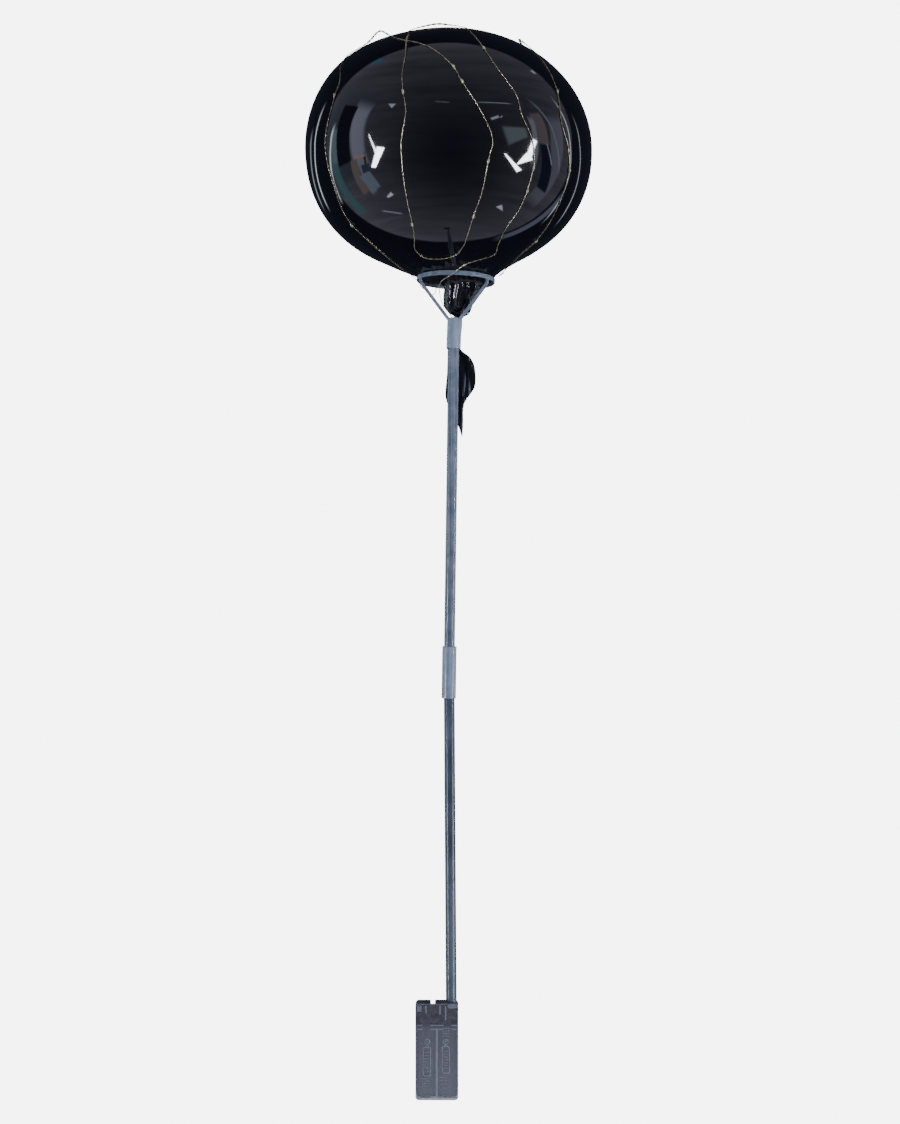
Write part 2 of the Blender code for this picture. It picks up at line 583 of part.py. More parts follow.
def neck_rows(angles):
    """Rows from the ring's lower edge through the gathered neck, past the socket and down to the tail's tip."""
    clear = RING_BORE - GAP
    yield section(angles, 0.0, 0.0, MOUTH_DROP, clear, clear)
    for share, x, y, half_width, half_depth in NECK_ROWS:
        yield section(angles, x * clear, y * clear, -share * CUP_HEIGHT, half_width * clear, half_depth * clear,
                      folds=NECK_FOLD_SHARE)
    for share, azimuth, half_width, half_thickness in PASS_ROWS:
        azimuth = math.radians(azimuth)
        away = SOCKET_RADIUS + GAP + half_thickness
        yield section(angles, away * math.sin(azimuth), -away * math.cos(azimuth),
                      -CUP_HEIGHT - share * SOCKET_LENGTH, half_width, half_thickness, turn=math.pi - azimuth)
    behind = SOCKET_RADIUS + GAP + TAIL_ROWS[0][3]
    for drop, left, right, half_thickness in TAIL_ROWS:
        # the tail hangs along the tube, which the cup tips away from
        yield section(angles, (left + right) / 2, behind + (drop + SOCKET_GRIP / 2) * math.tan(CUP_TIP),
                      -CUP_HEIGHT - SOCKET_LENGTH - drop, (right - left) / 2, half_thickness)


def build_balloon(parent, look):
    """The balloon as one closed solid: rows from the top down to the tail's tip, closed at both ends."""
    angles = np.arange(BODY_SEGMENTS) * 2 * math.pi / BODY_SEGMENTS
    throat = math.radians(THROAT_POLAR)
    polars = np.concatenate([
        np.linspace(0.0, throat, BODY_ROWS + 1)[1:],
        np.linspace(throat, math.pi, THROAT_ROWS + 1)[1:],
    ])
    rows = [film_point(angles, polar) for polar in polars] + list(neck_rows(angles))
    top = film_point(0.0, 0.0)
    tip = rows[-1].mean(axis=0)
    vertices = np.concatenate([top[None], *rows, tip[None]])
    count = BODY_SEGMENTS
    faces = []
    for i in range(count):
        after = (i + 1) % count
        faces.append((0, 1 + i, 1 + after))
        for row in range(len(rows) - 1):
            upper, lower = 1 + row * count, 1 + (row + 1) * count
            faces.append((upper + i, lower + i, lower + after, upper + after))
        last = 1 + (len(rows) - 1) * count
        faces.append((last + i, len(vertices) - 1, last + after))
    mesh = mesh_of("balloon", vertices, faces, math.radians(40))
    return add_object("balloon", mesh, parent, look)


def smooth_curve(points, samples=SAMPLES_BETWEEN_POINTS):
    """A curve through points with even tangents at them, with a few samples between each two."""
    points = np.asarray(points, float)
    padded = np.concatenate([2 * points[:1] - points[1:2], points, 2 * points[-1:] - points[-2:-1]])
    before, start, end, after = padded[:-3], padded[1:-2], padded[2:-1], padded[3:]
    t = (np.arange(samples) / samples)[None, :, None]
    before, start, end, after = (part[:, None, :] for part in (before, start, end, after))
    curve = 0.5 * (2 * start + (end - before) * t + (2 * before - 5 * start + 4 * end - after) * t ** 2
                   + (3 * start - before - 3 * end + after) * t ** 3)
    return np.concatenate([curve.reshape(-1, points.shape[1]), points[-1:]])


def strand(points):
    """A run over the film: its points in space, and which of them carry a lamp."""
    table = np.array(points, float)
    dense = smooth_curve(table[:, :3])
    azimuth, polar, lift = np.radians(dense[:, 0]), np.radians(dense[:, 1]), np.maximum(dense[:, 2], 0) / 1000
    lamps = np.zeros(len(dense), bool)
    lamps[::SAMPLES_BETWEEN_POINTS] = table[:, 3] > 0
    return film_point(azimuth, polar), film_normal(azimuth, polar), lift, lamps


def free_run(before, points, after):
    """A run through the air inside the cup: smooth between the ends of its neighbours."""
    whole = np.concatenate([np.atleast_2d(before), np.asarray(points, float), np.atleast_2d(after)])
    dense = smooth_curve(whole)
    return dense[SAMPLES_BETWEEN_POINTS:-SAMPLES_BETWEEN_POINTS]


def in_frame(frame, points):
    """Points of a frame, seen from the foot of the stick."""
    turn = np.array(frame.matrix_world.to_3x3())
    return np.asarray(points) @ turn.T + np.array(frame.matrix_world.translation)


def tube_run(low_frame, high_frame, cup_frame):
    """The string from the box's circuit space up both tubes, waving gently inside them."""
    count = 24
    low = np.linspace(STUB_LENGTH + GAP, LOWER_TUBE_LENGTH, count // 2)
    high = np.linspace(JOINT_SPACE, UPPER_TUBE_LENGTH - SOCKET_GRIP, count // 2)
    run = [in_frame(low_frame, [(0.0, 0.0, height) for height in np.linspace(-RECESS_DEPTH, STUB_LENGTH, 4)])]
    for frame, heights in ((low_frame, low), (high_frame, high)):
        phase = 2 * math.pi * heights / WIRE_WAVE_PITCH
        ease = np.clip(np.minimum(heights - heights[0], heights[-1] - heights) / WIRE_WAVE_PITCH * 4, 0, 1)
        run.append(in_frame(frame, np.stack([
            WIRE_WAVE * ease * np.sin(phase), WIRE_WAVE * ease * np.cos(phase * 0.8), heights], axis=-1)))
    start = np.array(BOX_RUN)
    return smooth_curve(np.concatenate([start, *run, in_frame(cup_frame, CUP_RUN[:1])]))


def wire_path(low_frame, high_frame, cup_frame):
    """The whole string from the box to the last lamp: points, radii as shares of the wire's, and its length."""
    rest = WIRE_DIAMETER / 2 + FILM_CLEARANCE
    front, front_normal, front_lift, front_lamps = strand(FRONT_STRANDS)
    back, back_normal, back_lift, back_lamps = strand(BACK_STRANDS)
    front_line = in_frame(cup_frame, front + front_normal * (front_lift + rest)[:, None])
    back_line = in_frame(cup_frame, back + back_normal * (back_lift + rest)[:, None])
    inside = tube_run(low_frame, high_frame, cup_frame)
    cup_line = free_run(inside[-2], in_frame(cup_frame, CUP_RUN), front_line[1])
    side_line = free_run(front_line[-2], in_frame(cup_frame, SIDE_RUN), back_line[1])
    tube_lamps = np.zeros(len(inside), bool)
    tube_lamps[np.abs(inside[:, 2] - TUBE_LAMP).argmin()] = True
    turn = np.array(cup_frame.matrix_world.to_3x3())
    runs = (
        (inside[:-1], tube_lamps[:-1], np.zeros_like(inside[:-1]), TUBE_WIRE_STEP),
        (cup_line, np.zeros(len(cup_line), bool), np.zeros_like(cup_line), CUP_WIRE_STEP),
        (front_line, front_lamps, front_normal @ turn.T, WIRE_STEP),
        (side_line, np.zeros(len(side_line), bool), np.zeros_like(side_line), CUP_WIRE_STEP),
        (back_line, back_lamps, back_normal @ turn.T, WIRE_STEP),
    )
    line, lamps, away = (np.concatenate([run[part] for run in runs]) for part in range(3))
    pace = np.concatenate([np.full(len(run[0]), run[3]) for run in runs])
    reach = np.linalg.norm(np.diff(line, axis=0), axis=1)
    along = np.concatenate([[0.0], np.cumsum(reach)])
    paces = np.concatenate([[0.0], np.cumsum(reach / pace[1:])])
    at_lamps = along[lamps]
    plain = np.interp(np.linspace(0.0, paces[-1], int(paces[-1]) + 2), paces, along)
    far = np.abs(plain[:, None] - at_lamps[None, :]).min(axis=1) > LAMP_LENGTH
    around = at_lamps[:, None] + np.array([-0.5, -0.25, 0.25, 0.5])[None, :] * LAMP_LENGTH
    stations = np.sort(np.concatenate([plain[far], around.ravel()]))
    fat = np.abs(stations[:, None] - at_lamps[None, :]).min(axis=1) < LAMP_LENGTH * 0.4
    points = np.stack([np.interp(stations, along, line[:, axis]) for axis in range(3)], axis=-1)
    lift_way = np.stack([np.interp(stations, along, away[:, axis]) for axis in range(3)], axis=-1)
    points = points + lift_way * np.where(fat, (LAMP_DIAMETER - WIRE_DIAMETER) / 2, 0.0)[:, None]
    radii = np.where(fat, LAMP_DIAMETER / WIRE_DIAMETER, 1.0)
    return points, radii, along[-1]


def build_string(parent, frames, look):
    """The lamp string: one thin square tube that swells at each lamp."""
    points, radii, length = wire_path(*frames)
    curve = bpy.data.curves.new("led_string", "CURVE")
    curve.dimensions = "3D"
    curve.bevel_depth = WIRE_DIAMETER / 2
    curve.bevel_resolution = 0
    curve.use_fill_caps = True
    curve.twist_mode = "MINIMUM"
    spline = curve.splines.new("POLY")
    spline.points.add(len(points) - 1)
    for point, place, radius in zip(spline.points, points, radii):
        point.co = (*place, 1.0)
        point.radius = radius
    print(f"lamp string: {length:.3f} m along its route, {int((radii > 1).sum() // 2)} lamps")
    return add_object("led_string", curve, parent, look)


def all_points(thing):
    """Every vertex of an object as it is shown, in the world."""
    shown = thing.evaluated_get(bpy.context.evaluated_depsgraph_get())
    mesh = shown.to_mesh()
    points = np.empty(len(mesh.vertices) * 3)
    mesh.vertices.foreach_get("co", points)
    shown.to_mesh_clear()
    turn = np.array(thing.matrix_world)
    return points.reshape(-1, 3) @ turn[:3, :3].T + turn[:3, 3]


def resting_tilt(balloon_points, other_points):
    """How far the stick rises from the ground, and the height of its foot, with the object on its back."""
    def heights(points, tilt):
        return points[:, 2] * math.sin(tilt) - points[:, 1] * math.cos(tilt)

    low, high = 0.0, math.radians(40)
    for _ in range(60):
        tilt = (low + high) / 2
        ground = heights(other_points, tilt).min()
        if heights(balloon_points, tilt).min() < ground - FLAT_SPOT_DEPTH:
            low = tilt
        else:
            high = tilt
    return tilt, -heights(other_points, tilt).min()


def cut_flat_spot(balloon):
    """Cuts the balloon off along the ground."""
    to_local = balloon.matrix_world.inverted()
    place = to_local @ Vector((0.0, 0.0, 0.0))
    normal = (to_local.to_3x3() @ Vector((0.0, 0.0, -1.0))).normalized()
    bm = bmesh.new()
    bm.from_mesh(balloon.data)
    cut = bmesh.ops.bisect_plane(bm, geom=[*bm.verts, *bm.edges, *bm.faces], dist=0.000001, plane_co=place,
                                 plane_no=normal, clear_outer=True)
    rim = [part for part in cut["geom_cut"] if isinstance(part, bmesh.types.BMEdge)]
    bmesh.ops.contextual_create(bm, geom=rim)
    bmesh.ops.recalc_face_normals(bm, faces=bm.faces)
    bm.to_mesh(balloon.data)
    bm.free()


def lay_down(standing, pieces):
    """Lays the object on its back and centres it on the origin, with its lowest points on the ground."""
    balloon = pieces["balloon"]
    others = [all_points(piece) for name, piece in pieces.items() if name not in ("balloon", "led_string")]
    tilt, rise = resting_tilt(all_points(balloon), np.concatenate(others))
    standing.rotation_euler = (tilt - math.pi / 2, 0.0, 0.0)
    standing.location = (0.0, 0.0, rise)
    bpy.context.view_layer.update()
    everything = np.concatenate([all_points(piece) for piece in pieces.values()])
    middle = (everything.min(axis=0) + everything.max(axis=0)) / 2
    standing.location = (-middle[0], -middle[1], rise)
    bpy.context.view_layer.update()
    cut_flat_spot(balloon)
    print(f"the stick rises {math.degrees(tilt):.2f} degrees from the ground")


def main():
    for thing in list(bpy.data.objects):
        bpy.data.objects.remove(thing)
    clear = material("clear smoky plastic", (0.16, 0.19, 0.23), 0.12, alpha=0.6)
    milky = material("milky sleeve plastic", (0.32, 0.37, 0.42), 0.25, alpha=0.7)
    slate = material("slate cup plastic", (0.20, 0.25, 0.31), 0.25, alpha=0.8)
    smoky = material("smoky box plastic", (0.10, 0.105, 0.13), 0.2, alpha=0.7)
    film = material("black balloon film", (0.006, 0.006, 0.011), 0.08, alpha=0.95)
    copper = material("pale copper wire", (0.62, 0.52, 0.38), 0.3, metallic=1.0)

    standing = empty("standing")
    tube_foot = (0.0, 0.0, RECESS_FLOOR + GAP)
    low_frame = empty("lower_axis", tube_foot, LOWER_LEAN, parent=standing)
    joint = Vector(tube_foot) + LOWER_TUBE_LENGTH * Vector((math.sin(LOWER_LEAN), 0.0, math.cos(LOWER_LEAN)))
    high_frame = empty("upper_axis", joint, UPPER_LEAN, parent=standing)
    upper_way = Vector((math.sin(UPPER_LEAN), 0.0, math.cos(UPPER_LEAN)))
    cup_way = Vector((math.sin(CUP_LEAN) * math.cos(CUP_TIP), math.sin(CUP_TIP),
                      math.cos(CUP_LEAN) * math.cos(CUP_TIP)))
    # the cup turns about the middle of the part of the tube that its socket grips
    grip_middle = joint + (JOINT_SPACE + UPPER_TUBE_LENGTH - SOCKET_GRIP / 2) * upper_way
    ring_centre = grip_middle + (SOCKET_LENGTH - SOCKET_GRIP / 2 + CUP_HEIGHT) * cup_way
    cup_frame = empty("cup_axis", ring_centre, CUP_LEAN, CUP_TIP, standing)
    bpy.context.view_layer.update()

    pieces = {
        "battery_case": build_case(standing, smoky),
        "battery_lid": build_lid(standing, smoky),
        "lower_tube": turned("lower_tube", tube_profile(TUBE_RADIUS, TUBE_BORE, 0.0, LOWER_TUBE_LENGTH),
                             TURN_STEPS, low_frame, clear),
        "joint_sleeve": turned("joint_sleeve", tube_profile(
            SLEEVE_BORE + SLEEVE_WALL, SLEEVE_BORE, -SLEEVE_BELOW_JOINT, SLEEVE_LENGTH - SLEEVE_BELOW_JOINT),
            TURN_STEPS, high_frame, milky),
        "upper_tube": turned("upper_tube", tube_profile(
            TUBE_RADIUS, TUBE_BORE, JOINT_SPACE, JOINT_SPACE + UPPER_TUBE_LENGTH), TURN_STEPS, high_frame, clear),
        "balloon_cup": build_cup(cup_frame, slate),
        "balloon": build_balloon(cup_frame, film),
        "led_string": build_string(standing, (low_frame, high_frame, cup_frame), copper),
    }
    bpy.context.view_layer.update()
    lay_down(standing, pieces)


main()
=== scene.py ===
"""Dresses the film balloon, its lamp string, the clear stick, the cup and the battery box.

Shapes are worked out standing, as in the source: +Z up the stick, +X to the right, -Y to the front. Each piece
is then turned onto its back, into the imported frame, before it becomes a mesh.
"""

import math

import bmesh
import bpy
import numpy as np
from mathutils import Matrix, Vector


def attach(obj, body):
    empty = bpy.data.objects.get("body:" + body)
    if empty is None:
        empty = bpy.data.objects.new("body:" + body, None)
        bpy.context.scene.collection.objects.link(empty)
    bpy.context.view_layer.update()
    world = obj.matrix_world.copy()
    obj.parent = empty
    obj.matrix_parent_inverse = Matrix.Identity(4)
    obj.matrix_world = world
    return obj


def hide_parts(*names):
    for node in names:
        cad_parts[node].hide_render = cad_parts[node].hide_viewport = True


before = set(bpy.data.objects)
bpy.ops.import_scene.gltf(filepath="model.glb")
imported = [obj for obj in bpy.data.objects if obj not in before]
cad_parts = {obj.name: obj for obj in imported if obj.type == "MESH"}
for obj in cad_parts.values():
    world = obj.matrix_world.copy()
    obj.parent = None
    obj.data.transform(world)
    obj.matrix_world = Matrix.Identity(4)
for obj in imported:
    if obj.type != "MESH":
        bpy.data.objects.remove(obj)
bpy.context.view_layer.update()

# How the standing object is laid down: the stick's rise from the ground, and where its foot comes to lie
RISE = math.radians(8.18947)
FOOT = np.array([0.00228394, -0.43341509, 0.00870953])

# Sizes shared with the source
GAP = 0.0003
BOX_WIDTH, BOX_LENGTH, BOX_DEPTH = 0.0352, 0.0790, 0.0178
BOX_WALL = 0.0015
BAYS_FOOT, BAYS_TOP, CIRCUIT_RIB = 0.0024, 0.0577, 0.0608
TUBE_DIAMETER, TUBE_WALL = 0.0090, 0.0008
LOWER_TUBE_LENGTH, UPPER_TUBE_LENGTH, JOINT_SPACE = 0.2724, 0.2714, 0.0010
LOWER_LEAN, UPPER_LEAN = math.radians(-0.39), math.radians(0.80)
RECESS_DEPTH, RECESS_FIT, RECESS_WALL = 0.0034, 0.00035, 0.0009
STUB_LENGTH = 0.0217
SLEEVE_LENGTH, SLEEVE_WALL, SLEEVE_FIT, SLEEVE_BELOW_JOINT = 0.0426, 0.0008, 0.00065, 0.0205
SOCKET_LENGTH, SOCKET_WALL, SOCKET_FIT, SOCKET_GRIP = 0.0254, 0.00105, 0.0004, 0.0066
CUP_HEIGHT, CUP_LEAN, CUP_TIP = 0.0317, math.radians(1.90), math.radians(3.90)
RING_DIAMETER, RING_THICKNESS, RING_HEIGHT = 0.0644, 0.0015, 0.0037
LEG_COUNT, LEG_FIRST_AZIMUTH = 3, 54.5
LEG_WIDTH, LEG_THICKNESS, LEG_DROP = 0.0030, 0.0021, 0.0050
LEG_UNDER_RIM, LEG_BEND, LEG_TUCK, LEG_ROUND = 0.0006, 0.0015, 0.0002, 0.0005
BODY_RADIUS, BODY_TOP, BODY_BOTTOM = 0.1173, 0.0990, 0.0987
TOP_POWER, BOTTOM_POWER = 2.0, 2.15
SEAT_RISE, BODY_SHIFT, BODY_LEAN = 0.0058, -0.0090, math.radians(-3.22)
SHOULDER_SHARE, SHOULDER_SPREAD, SHOULDER_POINTS = 0.056, 0.12, (-0.75, 0.0, 0.66)
THROAT_POLAR, THROAT_PULL = 144.0, 0.72
WIRE_WAVE, WIRE_WAVE_PITCH = 0.0016, 0.105
TUBE_LAMP = 0.150

TUBE_RADIUS = TUBE_DIAMETER / 2
TUBE_BORE = TUBE_RADIUS - TUBE_WALL
SOCKET_BORE = TUBE_RADIUS + SOCKET_FIT
SOCKET_RADIUS = SOCKET_BORE + SOCKET_WALL
SLEEVE_BORE = TUBE_RADIUS + SLEEVE_FIT
RING_RADIUS = RING_DIAMETER / 2
RING_BORE = RING_RADIUS - RING_THICKNESS
BOX_CENTRE = TUBE_RADIUS + RECESS_FIT + RECESS_WALL - BOX_WIDTH / 2
TUBE_FOOT = BOX_LENGTH - RECESS_DEPTH + GAP

# The camera: how far it stands from the stick, where it looks, and half the picture's height at the stick
CAMERA_AWAY = 1.8
CAMERA_AIM = (-0.0011, 0.0, 0.43946)
HALF_PICTURE = 0.46084

# Neck and tail of the balloon, as in the source
MOUTH_DROP = 0.0006
NECK_ROWS = (
    (0.028, 0.050, 0.012, 0.780, 0.780),
    (0.075, 0.130, 0.028, 0.620, 0.600),
    (0.130, 0.175, 0.033, 0.560, 0.525),
    (0.24, 0.20, 0.035, 0.53, 0.485),
    (0.40, 0.14, 0.06, 0.48, 0.44),
    (0.56, 0.10, 0.085, 0.42, 0.385),
    (0.72, 0.093, 0.10, 0.38, 0.30),
    (0.87, 0.125, 0.080, 0.27, 0.095),
)
PASS_ROWS = (
    (-0.05, 137.0, 0.0022, 0.0012),
    (0.08, 142.0, 0.0024, 0.0011),
    (0.28, 154.0, 0.0036, 0.0011),
    (0.62, 170.0, 0.0046, 0.0010),
    (0.94, 176.0, 0.0054, 0.0010),
)
TAIL_ROWS = (
    (0.0045, -0.0050, 0.0135, 0.0010),
    (0.0094, -0.0050, 0.0168, 0.0011),
    (0.0143, -0.0050, 0.0184, 0.0011),
    (0.0217, -0.0050, 0.0193, 0.0010),
    (0.0291, -0.0054, 0.0188, 0.0010),
    (0.0340, -0.0057, 0.0163, 0.0010),
    (0.0389, -0.0053, 0.0130, 0.0009),
    (0.0440, -0.0036, 0.0106, 0.0009),
    (0.0492, -0.0005, 0.0098, 0.0008),
    (0.0586, 0.0044, 0.0101, 0.0007),
    (0.0652, 0.0073, 0.0100, 0.0005),
    (0.0706, 0.0090, 0.0097, 0.0003),
)

# The string's route, as in the source; a strand's rows are azimuth, polar angle, lift in mm, and 1 for a lamp,
# with trailing noughts left out
BOX_RUN = ((-0.0100, 0.0010, 0.0655), (-0.0050, 0.0005, 0.0668), (-0.0012, 0.0, 0.0705), (0.0, 0.0, 0.0765))
CUP_RUN = (
    (0.0, 0.0, -0.0400),
    (-0.0004, -0.0004, -0.0345),
    (-0.0032, -0.0026, -0.0298),
    (-0.0078, -0.0052, -0.0250),
    (-0.0112, -0.0082, -0.0190),
    (-0.0130, -0.0130, -0.0120),
    (-0.0124, -0.0205, -0.0066),
    (-0.0090, -0.0278, -0.0046),
    (-0.0052, -0.0322, -0.0032),
    (-0.0010, -0.0336, -0.0002),
)
SIDE_RUN = (
    (-0.0312, 0.0130, 0.0005),
    (-0.0282, 0.0158, -0.0034),
    (-0.0240, 0.0168, -0.0066),
    (-0.0198, 0.0160, -0.0096),
    (-0.0176, 0.0192, -0.0084),
    (-0.0166, 0.0245, -0.0054),
    (-0.0164, 0.0279, -0.0034),
    (-0.0162, 0.0304, 0.0005),
)
FRONT_STRANDS = (
    (8.5, 170, 0.6), (13, 165.5, 0.2, 1), (26, 159.5), (39, 151.5), (34, 141.5), (31.5, 132.5), (34, 121.5),
    (34.5, 114, 0, 1), (35, 104.5, 0, 1), (33.5, 95), (29, 86), (27.5, 77.5), (22, 66), (19, 53.5, 0, 1), (18, 37),
    (19, 25, 0.4), (5, 20, 1.2), (-12, 20, 2.2), (-31, 25, 1.0), (-35, 30, 0.4), (-27.5, 38, 1.0), (-23.5, 46.5, 1.8),
    (-20.5, 57, 0.3), (-19.5, 68), (-18, 76, 0, 1), (-16.5, 84.5), (-18.5, 95.5), (-19, 105), (-19.5, 117),
    (-20.5, 129, 0, 1), (-23.5, 137.5), (-28.5, 146), (-24.5, 154.5, 0.3), (-9.5, 156.5, 0.5), (3.5, 152.5, 0.3),
    (8.5, 143.5), (9.5, 138), (11, 126.5, 0, 1), (13.5, 116), (15, 103.5, 0, 1), (16.5, 95.5), (12.5, 85.5),
    (5.5, 72.5, 0, 1), (2.5, 65.5, 0, 1), (-5.5, 55.5), (-15.5, 48.5), (-30, 42.5), (-50, 34, 0.3),
    (-66, 29.5, 0.8, 1), (-74, 31, 6.0), (-82, 36.5, 1.4), (-76, 46, 0.1), (-56.5, 63), (-53.5, 72.5, 0, 1),
    (-54.5, 82.5), (-56.5, 92), (-56, 100.5), (-56, 110), (-58, 118), (-58.5, 125, 0, 1), (-58, 134), (-61.5, 144.5),
    (-71.5, 157), (-86, 170, 0.5),
)
BACK_STRANDS = (
    (-153, 172, 0.6), (-152, 160, 0.3), (-150, 146, 0, 1), (-152, 132), (-154, 117), (-153, 101, 0, 1), (-152, 84),
    (-155, 68), (-160, 52, 0, 1), (-170, 38, 0.6), (-184, 30, 2.6), (-198, 36, 0.8), (-203, 50), (-204, 66, 0, 1),
    (-202, 82), (-203, 98), (-204, 114, 0, 1), (-205, 130), (-208, 145), (-216, 158, 0.4), (-230, 163, 0.6, 1),
    (-243, 156, 0.3), (-248, 143), (-249, 128), (-246, 113, 0, 1), (-248, 98), (-251, 83), (-253, 68, 0, 1),
    (-257, 52), (-268, 39, 0.7), (-284, 35, 2.2, 1), (-298, 44, 0.6), (-305, 58), (-309, 73, 0, 1), (-311, 86),
    (-307, 95), (-304, 104, 0, 1), (-303, 113), (-301, 123), (-296, 136, 0, 1), (-288, 148), (-276, 158, 0.2),
    (-263, 166, 0.6, 1), (-256, 169, 1.2),
)
PLEAT_DEPTH = 0.0004
SAMPLES_BETWEEN_POINTS = 16
WIRE_STEP = 0.0016
WIRE_REST = 0.00045
CORE_RADIUS = 0.00023
CORE_SPREAD = 0.00015
CORE_PITCH = 0.0090
BULGE_SPREAD, BULGE_LENGTH = 0.00035, 0.0014
LOOSE_FROM, LOOSE_OVER, LOOSE_SPREAD, LOOSE_RADIUS = 0.0006, 0.0012, 0.00034, 0.00020
DROP_DIAMETER, DROP_LENGTH = 0.0020, 0.0043
CHIP_LENGTH, CHIP_THICKNESS, CHIP_WIDTH = 0.0016, 0.00068, 0.00084


def turn_x(angle):
    """A turn about X."""
    c, s = math.cos(angle), math.sin(angle)
    return np.array([[1.0, 0.0, 0.0], [0.0, c, -s], [0.0, s, c]])


def turn_y(angle):
    """A turn about Y, which leans +Z to the right."""
    c, s = math.cos(angle), math.sin(angle)
    return np.array([[c, 0.0, s], [0.0, 1.0, 0.0], [-s, 0.0, c]])


LAID = turn_x(RISE - math.pi / 2)
BACKWARDS, UP = np.array([0.0, 1.0, 0.0]), np.array([0.0, 0.0, 1.0])


def unit(vectors):
    """Vectors drawn to length one."""
    return vectors / np.linalg.norm(vectors, axis=-1, keepdims=True)


def round_angles(steps):
    """Even angles round a circle."""
    return np.arange(steps) * 2 * math.pi / steps


def axis_frame(place, lean, tip=0.0):
    """A frame of the standing object: its turn and its place."""
    return turn_y(lean) @ turn_x(-tip), np.asarray(place, float)


def lay(points, axis=None):
    """Points of a standing frame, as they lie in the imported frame."""
    points = np.asarray(points, float)
    if axis is not None:
        points = points @ axis[0].T + axis[1]
    return points @ LAID.T + FOOT


LOWER = axis_frame((0.0, 0.0, TUBE_FOOT), LOWER_LEAN)
UPPER = axis_frame(LOWER[1] + LOWER_TUBE_LENGTH * (LOWER[0] @ UP), UPPER_LEAN)
GRIP_MIDDLE = UPPER[1] + (JOINT_SPACE + UPPER_TUBE_LENGTH - SOCKET_GRIP / 2) * (UPPER[0] @ UP)
CUP_TURN = axis_frame((0.0, 0.0, 0.0), CUP_LEAN, CUP_TIP)[0]
CUP = (CUP_TURN, GRIP_MIDDLE + (SOCKET_LENGTH - SOCKET_GRIP / 2 + CUP_HEIGHT) * (CUP_TURN @ UP))


# ---- meshes from grids ----

def quads(rows, columns):
    """Corner numbers of a grid's faces, whose last column joins its first."""
    row, column = np.arange(rows - 1)[:, None], np.arange(columns)[None, :]
    after = (column + 1) % columns
    return np.stack([row * columns + column, row * columns + after,
                     (row + 1) * columns + after, (row + 1) * columns + column], axis=-1).reshape(-1, 4)


def write_mesh(name, vertices, faces):
    """A mesh from arrays of corners and four-cornered faces, with doubles merged and faces turned outwards."""
    mesh = bpy.data.meshes.new(name)
    mesh.vertices.add(len(vertices))
    mesh.vertices.foreach_set("co", np.ascontiguousarray(vertices, np.float32).ravel())
    mesh.loops.add(faces.size)
    mesh.loops.foreach_set("vertex_index", np.ascontiguousarray(faces, np.int32).ravel())
    mesh.polygons.add(len(faces))
    mesh.polygons.foreach_set("loop_start", np.arange(len(faces), dtype=np.int32) * 4)
    mesh.update(calc_edges=True)
    bm = bmesh.new()
    bm.from_mesh(mesh)
    bmesh.ops.remove_doubles(bm, verts=bm.verts, dist=0.000001)
    bmesh.ops.dissolve_degenerate(bm, edges=bm.edges, dist=0.0000005)
    bmesh.ops.recalc_face_normals(bm, faces=bm.faces)
    bm.to_mesh(mesh)
    bm.free()
    return mesh


def placed(name, data):
    """An object for a mesh, a light or a camera, linked into the scene."""
    made = bpy.data.objects.new(name, data)
    bpy.context.collection.objects.link(made)
    return made


def finished(name, mesh, sharp=None):
    """A mesh shaded smooth, with sharp edges past an angle in degrees, in an object of its own."""
    mesh.name = name
    mesh.shade_smooth()
    if sharp is not None:
        mesh.set_sharp_from_angle(angle=math.radians(sharp))
    return placed(name, mesh)


def piece(name, grids, look=None, sharp=None):
    """A piece from closed grids of points, each of rows by columns; further leading axes are copies."""
    vertices, faces, start = [], [], 0
    for grid in grids:
        grid = np.asarray(grid, float)
        rows, columns = grid.shape[-3:-1]
        copies = grid.reshape(-1, rows * columns, 3)
        base = quads(rows, columns)
        offsets = start + np.arange(len(copies))[:, None, None] * rows * columns
        faces.append((base[None] + offsets).reshape(-1, 4))
        vertices.append(copies.reshape(-1, 3))
        start += copies.shape[0] * rows * columns
    mesh = write_mesh(name, np.concatenate(vertices), np.concatenate(faces))
    if look:
        mesh.materials.append(look)
    return finished(name, mesh, sharp)


def capped(grid):
    """A grid of rows with both ends drawn together to their middles."""
    grid = np.asarray(grid, float)
    first, last = (np.broadcast_to(row.mean(axis=-2, keepdims=True), row.shape)
                   for row in (grid[..., :1, :, :], grid[..., -1:, :, :]))
    return np.concatenate([first, grid, last], axis=-3)


def turned(profile, steps):
    """A closed profile of (radius, height) points carried round Z: a ring-shaped grid."""
    profile = np.asarray(profile, float)
    profile = np.concatenate([profile, profile[:1]])
    angle, radius, height = round_angles(steps), profile[:, :1], profile[:, 1:]
    return np.stack([radius * np.sin(angle), -radius * np.cos(angle),
                     np.broadcast_to(height, (len(profile), steps))], axis=-1)


def rounded_profile(corners, radii, steps=5):
    """A closed polygon with a round of its own radius at each corner, as a chain of points."""
    corners, out = np.asarray(corners, float), []
    count = len(corners)
    for i, radius in enumerate(radii):
        here, back, on = corners[i], corners[i - 1] - corners[i], corners[(i + 1) % count] - corners[i]
        back, on = back / np.linalg.norm(back), on / np.linalg.norm(on)
        half = math.acos(float(np.clip(back @ on, -1, 1))) / 2
        reach = radius / math.tan(half)
        t = np.linspace(0, 1, steps + 1)[:, None]
        start, end = here + back * reach, here + on * reach
        middle = here + (back + on) / np.linalg.norm(back + on) * radius / math.sin(half)
        arm = (1 - t) * (start - middle) + t * (end - middle)
        out.append(middle + arm / np.linalg.norm(arm, axis=1, keepdims=True) * radius)
    return np.concatenate(out)


